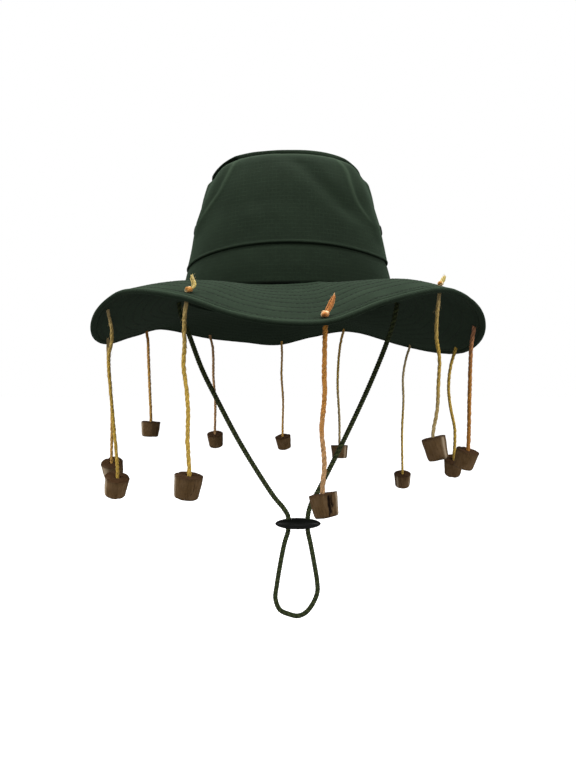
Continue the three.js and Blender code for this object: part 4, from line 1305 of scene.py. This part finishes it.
@functools.lru_cache(maxsize=None)
def tip_profile(azimuth):
    """Section of the tip from its middle underneath, over its flange and roll, to its middle on top.

    A point: a share of the rim's radius, how far it stands out of that, its height, its wear and painted
    light.
    """
    wall = crown_top(azimuth)
    roll = round_hat(CROWN_EDGE, azimuth, ROLL_TOP) * MM
    middle = CROWN_HEIGHT + TIP_EDGE_HEIGHT - 1 * MM
    sunk = held((roll - wall - 3.5 * MM) / (1.1 * MM))
    overhang = (2 * sunk - 1.7) * MM
    foot = wall - 0.8 * MM + (roll - TIP_LIP - wall + 0.8 * MM) * sunk
    fold = min(wall + 0.1 * MM, foot - 0.2 * MM)
    swell = 1 + 0.3 * ripple(azimuth, 0, 5, 31) + 0.12 * ripple(azimuth * 5, 0, 7, 33)

    def panel(reach):
        return middle + (roll - middle) * reach ** 4 + TIP_RISE * (1 - reach ** 2.4)

    points = [(0.001 + 0.854 * step / 7, 0, panel(0.854 * step / 7) - TIP_WALL, 0) for step in range(8)]
    points += [(0.872, 0, wall - 1.0 * MM, 0), (0.882, 0, wall - 2.6 * MM, 0), (0.9, 0, wall - 3 * MM, 0),
               (0.918, 0, wall - 2.4 * MM, 0), (0.924, 0, wall - 1.6 * MM, 0), (0.93, 0, fold, 0),
               (0.932, 0, (fold + foot) / 2, 0), (0.936, 0, foot - 0.1 * MM, 0), (0.944, 0, foot, 0)]
    steps = 16
    for step in range(steps + 1):
        angle = math.pi * (step / steps - 0.5)
        blunt = 0.35 if angle < 0 else 0.8
        drawn_in = 1.7 * MM * (1 - max(0, math.cos(angle)) ** blunt) * (1.3 if angle < 0 else 0.6)
        lean = 0.35 * MM * (step / steps - 0.5) * swell
        height = 0.5 + 0.5 * math.sin(angle) * abs(math.sin(angle)) ** 0.25
        z = foot + (roll + 0.2 * MM * (swell - 1) - foot) * height
        # painted highlight along the top of the roll, strongest towards its front on +X
        worn = 0.5 * near_azimuth(azimuth, 28, 22) + 0.45 * max(0, math.sin(angle)) ** 3
        points.append((1, overhang - drawn_in + lean, z, worn))
    steps = 26
    for step in range(1, steps + 1):
        reach = max(0.001, (1 - step / steps) * 0.972)
        dip = 0.8 * MM * bell(reach - 0.925, 0.022)
        wave = 0.7 * MM * ripple(azimuth, reach * 50 * MM, 3, 12) * reach
        # a paler ring on the panel just inside the roll
        worn = 0.25 * bell(reach - 0.965, 0.015)
        points.append((reach, overhang * reach ** 8, panel(reach) - dip + wave - 0.2 * MM, worn))
    return points


def make_tip(cloth):
    """The crown's oval top panel, whose rolled edge hangs over the wall's sunk corners."""
    half_width, half_length = crown_halves(*CROWN_SECTIONS[-1][1:])

    def place(azimuth, row):
        reach, out, z, worn = tip_profile(azimuth)[row]
        side, front = facing(azimuth)
        rim = Vector((half_width * side, half_length * front, 0))
        point = rim * reach + rim.normalized() * out + Vector((0, 0, z))
        return point, (point.x, point.y), worn

    tip = wrapped("tip_panel", TIP_COLUMNS, len(tip_profile(0)) - 1, place)
    finish_piece(tip, cloth, "ripstop_cloth", "crown_tip")


def make_eyelets():
    metal = eyelet_finish()
    bore, barrel, rim, back = EYELET_BORE, EYELET_BARREL, EYELET_RIM, -(CROWN_WALL + SEAM_GAP)
    profile = [(bore, back), (barrel, back), (barrel, 0.2 * MM), (rim, 0.2 * MM),
               (rim + 0.1 * MM, 0.5 * MM), (rim - 0.4 * MM, 0.95 * MM), (3.3 * MM, 1.25 * MM),
               (2.5 * MM, 1.05 * MM), (bore, 0.5 * MM), (bore, back)]
    for name, azimuth in (("left", EYELET_AZIMUTH), ("right", -EYELET_AZIMUTH)):
        piece = turned(f"vent_eyelet_{name}", profile, sides=40)
        smooth_shade(piece, angle=50)
        face = crown_face(azimuth, EYELET_HEIGHT, 0)
        sideways = crown_face(azimuth + 2, EYELET_HEIGHT, 0) - crown_face(azimuth - 2, EYELET_HEIGHT, 0)
        up = crown_face(azimuth, EYELET_HEIGHT + 2 * MM, 0) - crown_face(azimuth, EYELET_HEIGHT - 2 * MM, 0)
        outward = sideways.cross(up).normalized()
        turn = outward.to_track_quat("Z", "Y").to_matrix().to_4x4()
        piece.data.transform(Matrix.Translation(face) @ turn)
        finish_piece(piece, metal, "dark_metal", f"eyelet_{name}")


# Brim

def row_dip(along):
    """Depth of the groove that a row of stitches pulls into the cloth, from 0 to 1."""
    return bell(min(abs(along - row) for row in stitch_rows()), 0.6 * MM)


@functools.lru_cache(maxsize=None)
def stitch_rows():
    rows = [FIRST_STITCH_ROW + STITCH_ROW_SPACING * row for row in range(STITCH_ROWS)]
    return (*rows, HEM_STITCH_ROW)


def brim_relief(azimuth, along):
    """How far the brim's cloth stands off its even face."""
    side, front = facing(azimuth)
    soft = 0.6 * ripple(azimuth, along, 3.2, 41)
    fine = noise_at(43 * side, -43 * front, along / (2.6 * MM))
    phase = (along - FIRST_STITCH_ROW) / STITCH_ROW_SPACING
    puff = 0.04 * math.sin(math.pi * phase) ** 2
    near_rim = held((BRIM_WIDTH - HEM_WIDTH - along) / (3 * MM))
    near_head = min(1, along / (6 * MM))
    relief = (soft + puff) * (0.3 + 0.7 * near_rim) + 0.15 * fine - 0.17 * row_dip(along) * (1 + 0.7 * fine)
    return relief * near_head * MM


def seam_dip(azimuth, along):
    """Where the brim sinks away from the band at the front; the dark line between them is partly painted
    shadow.
    """
    span = max(0, 1 - ((azimuth - SAG_AZIMUTH) / SAG_SPREAD) ** 2)
    return FRONT_SAG * span * bell(along, SAG_REACH)


def brim_face(azimuth, along, over):
    """A point on the finished cloth, over or under the brim, and the direction square to it."""
    top, _, normal = brim_frame(azimuth, along)
    top.z -= seam_dip(azimuth, along)
    relief = brim_relief(azimuth, along)
    if over:
        return top + normal * relief, normal
    return top - normal * (UNDER_FACE + relief * UNDER_RELIEF), -normal


def flat_place(azimuth, along):
    """Where a point of the brim lies on the cloth it is cut from."""
    spot = beside_opening(azimuth, along, 0)
    return spot.x, spot.y


def brim_lines(last):
    """Distances from the head opening, close together at each row of stitches."""
    lines = {0, 1.5 * MM, BRIM_SEAM, 4.4 * MM, last}
    for row in stitch_rows():
        lines.update(row + away * MM for away in (-2.6, -1.3, -0.7, -0.35, 0, 0.35, 0.7, 1.3, 2.6, 3.85))
    return sorted(line for line in lines if line <= last)


def make_brim(cloth):
    """A stitched two-ply sheet round the head opening."""
    lines = brim_lines(BRIM_WIDTH - HEM_WIDTH + 0.4 * MM)
    over, under = len(lines) - 1, 50

    def place(azimuth, row):
        on_top = row <= over
        along = lines[row] if on_top else lines[-1] * (1 - (row - over - 1) / (under - 1))
        point, _ = brim_face(azimuth, along, on_top)
        groove, beside = row_dip(along), facing(azimuth)[0]
        # paler random patches are wear; the stitch grooves are darkened as painted shade
        worn = 0.3 * max(0, ripple(azimuth, along, 9, 50) + 0.2) * (1 - groove) - 0.5 * groove
        # painted light: paler towards the brim's sides, most on +X, and darker at front and back
        worn += (0.36 + 0.16 * beside) * beside ** 2 - 0.12
        # painted shadow: near black along the brim's inner edge where it sags from the band
        worn -= 1.6 * seam_dip(azimuth, along) / FRONT_SAG * bell(along, 0.9 * MM)
        return point, flat_place(azimuth, along), worn if on_top else 0.0

    brim = wrapped("brim_cloth", BRIM_COLUMNS, over + under, place, flip=True)
    close_rows(brim)
    finish_piece(brim, cloth, "ripstop_cloth", "brim")


def make_hem(cloth):
    """The fat rounded hem rolled round the rim."""
    middle = BRIM_WIDTH - HEM_WIDTH / 2
    sides = 20

    def place(azimuth, row):
        angle = 2 * math.pi * row / sides
        outer, upper = math.cos(angle), math.sin(angle)
        side, front = facing(azimuth)
        top, outward, normal = brim_frame(azimuth, middle)
        swell = 1 + 0.1 * ripple(azimuth, 0, 14, 60) + 0.05 * noise_at(60 * side, -60 * front, outer)
        up = HEM_THICKNESS / 2 * upper * swell
        if outer < 0:
            up *= 1 - 0.26 * outer ** 2
        point = top + normal * (up - BRIM_WALL / 2) + outward * (HEM_WIDTH / 2 * outer)
        round_length = math.radians(azimuth) * (HEAD_WIDTH + HEAD_LENGTH + 4 * BRIM_WIDTH) / 4
        around = row / sides * math.pi * HEM_WIDTH * 0.85
        # painted light: the hem's top is paler, a painted highlight; its outer face and sides darker,
        # painted shade
        worn = 0.35 * max(0, upper) ** 3 - 0.5 * max(0, outer) ** 2 - 0.35 * side ** 2
        return point, (round_length, around), worn

    hem = wrapped("rolled_hem", HEM_COLUMNS, sides, place)
    finish_piece(hem, cloth, "edge_cloth", "brim_edge")


def stitch_row(strands, along, over):
    """Lays one row of stitches end to end round the brim."""
    start, travelled, wanted, sewing = None, 0, STITCH_LENGTH, True
    last, azimuth = None, -180
    while azimuth < 180:
        point, normal = brim_face(azimuth, along, over)
        travelled += (point - last).length if last else 0
        if start is None:
            start, travelled = (point, normal), 0
        elif travelled >= wanted:
            if sewing:
                add_stitch(strands, start[0], point, (start[1] + normal).normalized())
            sewing = not sewing
            wanted = STITCH_LENGTH if sewing else STITCH_GAP
            start, travelled = (point, normal), 0
        last = point
        azimuth += STITCH_TURN


def add_stitch(strands, start, end, normal):
    """One stitch: a short thread whose ends dip into the cloth."""
    ahead = (end - start).normalized()
    side = normal.cross(ahead).normalized()
    rise, dip = normal * STITCH_RISE, normal * STITCH_DEPTH
    path = [start - dip, start + (end - start) * 0.2 + rise, start + (end - start) * 0.8 + rise, end - dip]
    radii = [THREAD_RADIUS * share for share in (0.6, 1, 1, 0.6)]
    strands.add(path, radii, sides=4, frames=[(side, normal)] * len(path))


def make_stitching():
    """Rows of stitching round the brim, over and under, and the row that holds the hem."""
    thread = thread_finish()
    for name, over in (("top_stitching", True), ("under_stitching", False)):
        strands = Strands()
        for along in stitch_rows():
            stitch_row(strands, along, over)
        finish_piece(strands.piece(name), thread, "ripstop_cloth")


# Stage

def make_stage():
    deselect()
    bpy.ops.mesh.primitive_plane_add(size=FLOOR_SIZE, location=(0, 0, FLOOR_HEIGHT))
    floor = bpy.context.object
    floor.name = "studio_floor"
    floor.visible_diffuse = False
    floor.visible_glossy = False
    finish = Finish("pale_floor", FLOOR_COLOUR, 0.9, glow=1.0)
    finish.shader.inputs["Emission Color"].default_value = WHITE
    floor.data.materials.append(finish.material)


def area_light(name, place, aim, size, power):
    data = bpy.data.lights.new(name, "AREA")
    data.shape = "DISK"
    data.size = size
    data.energy = power
    light = bpy.data.objects.new(name, data)
    light.location = place
    light.rotation_euler = (Vector(aim) - Vector(place)).to_track_quat("-Z", "Y").to_euler()
    light.visible_camera = False
    bpy.context.scene.collection.objects.link(light)


def make_light():
    for name, facts in LIGHTS.items():
        area_light(name, *facts)
    world = bpy.data.worlds.new("studio")
    bpy.context.scene.world = world
    world.use_nodes = True
    tree = world.node_tree
    ambient = tree.nodes["Background"]
    ambient.inputs["Color"].default_value = WHITE
    ambient.inputs["Strength"].default_value = AMBIENT_STRENGTH
    backdrop = tree.nodes.new("ShaderNodeBackground")
    backdrop.inputs["Color"].default_value = WHITE
    backdrop.inputs["Strength"].default_value = 1.0
    seen = tree.nodes.new("ShaderNodeLightPath")
    choose = tree.nodes.new("ShaderNodeMixShader")
    tree.links.new(seen.outputs["Is Camera Ray"], choose.inputs["Fac"])
    tree.links.new(ambient.outputs[0], choose.inputs[1])
    tree.links.new(backdrop.outputs[0], choose.inputs[2])
    tree.links.new(choose.outputs[0], tree.nodes["World Output"].inputs["Surface"])
    bpy.context.scene.view_settings.view_transform = "Standard"


def main():
    make_camera()
    make_strings()
    make_chin_cord()
    cloth = ripstop("ripstop_cloth", CLOTH_COLOURS)
    hem_cloth = ripstop("edge_cloth", HEM_COLOURS)
    make_crown_side(cloth)
    make_band(cloth)
    make_tip(cloth)
    make_eyelets()
    make_brim(cloth)
    make_hem(hem_cloth)
    make_stitching()
    make_stage()
    make_light()


main()
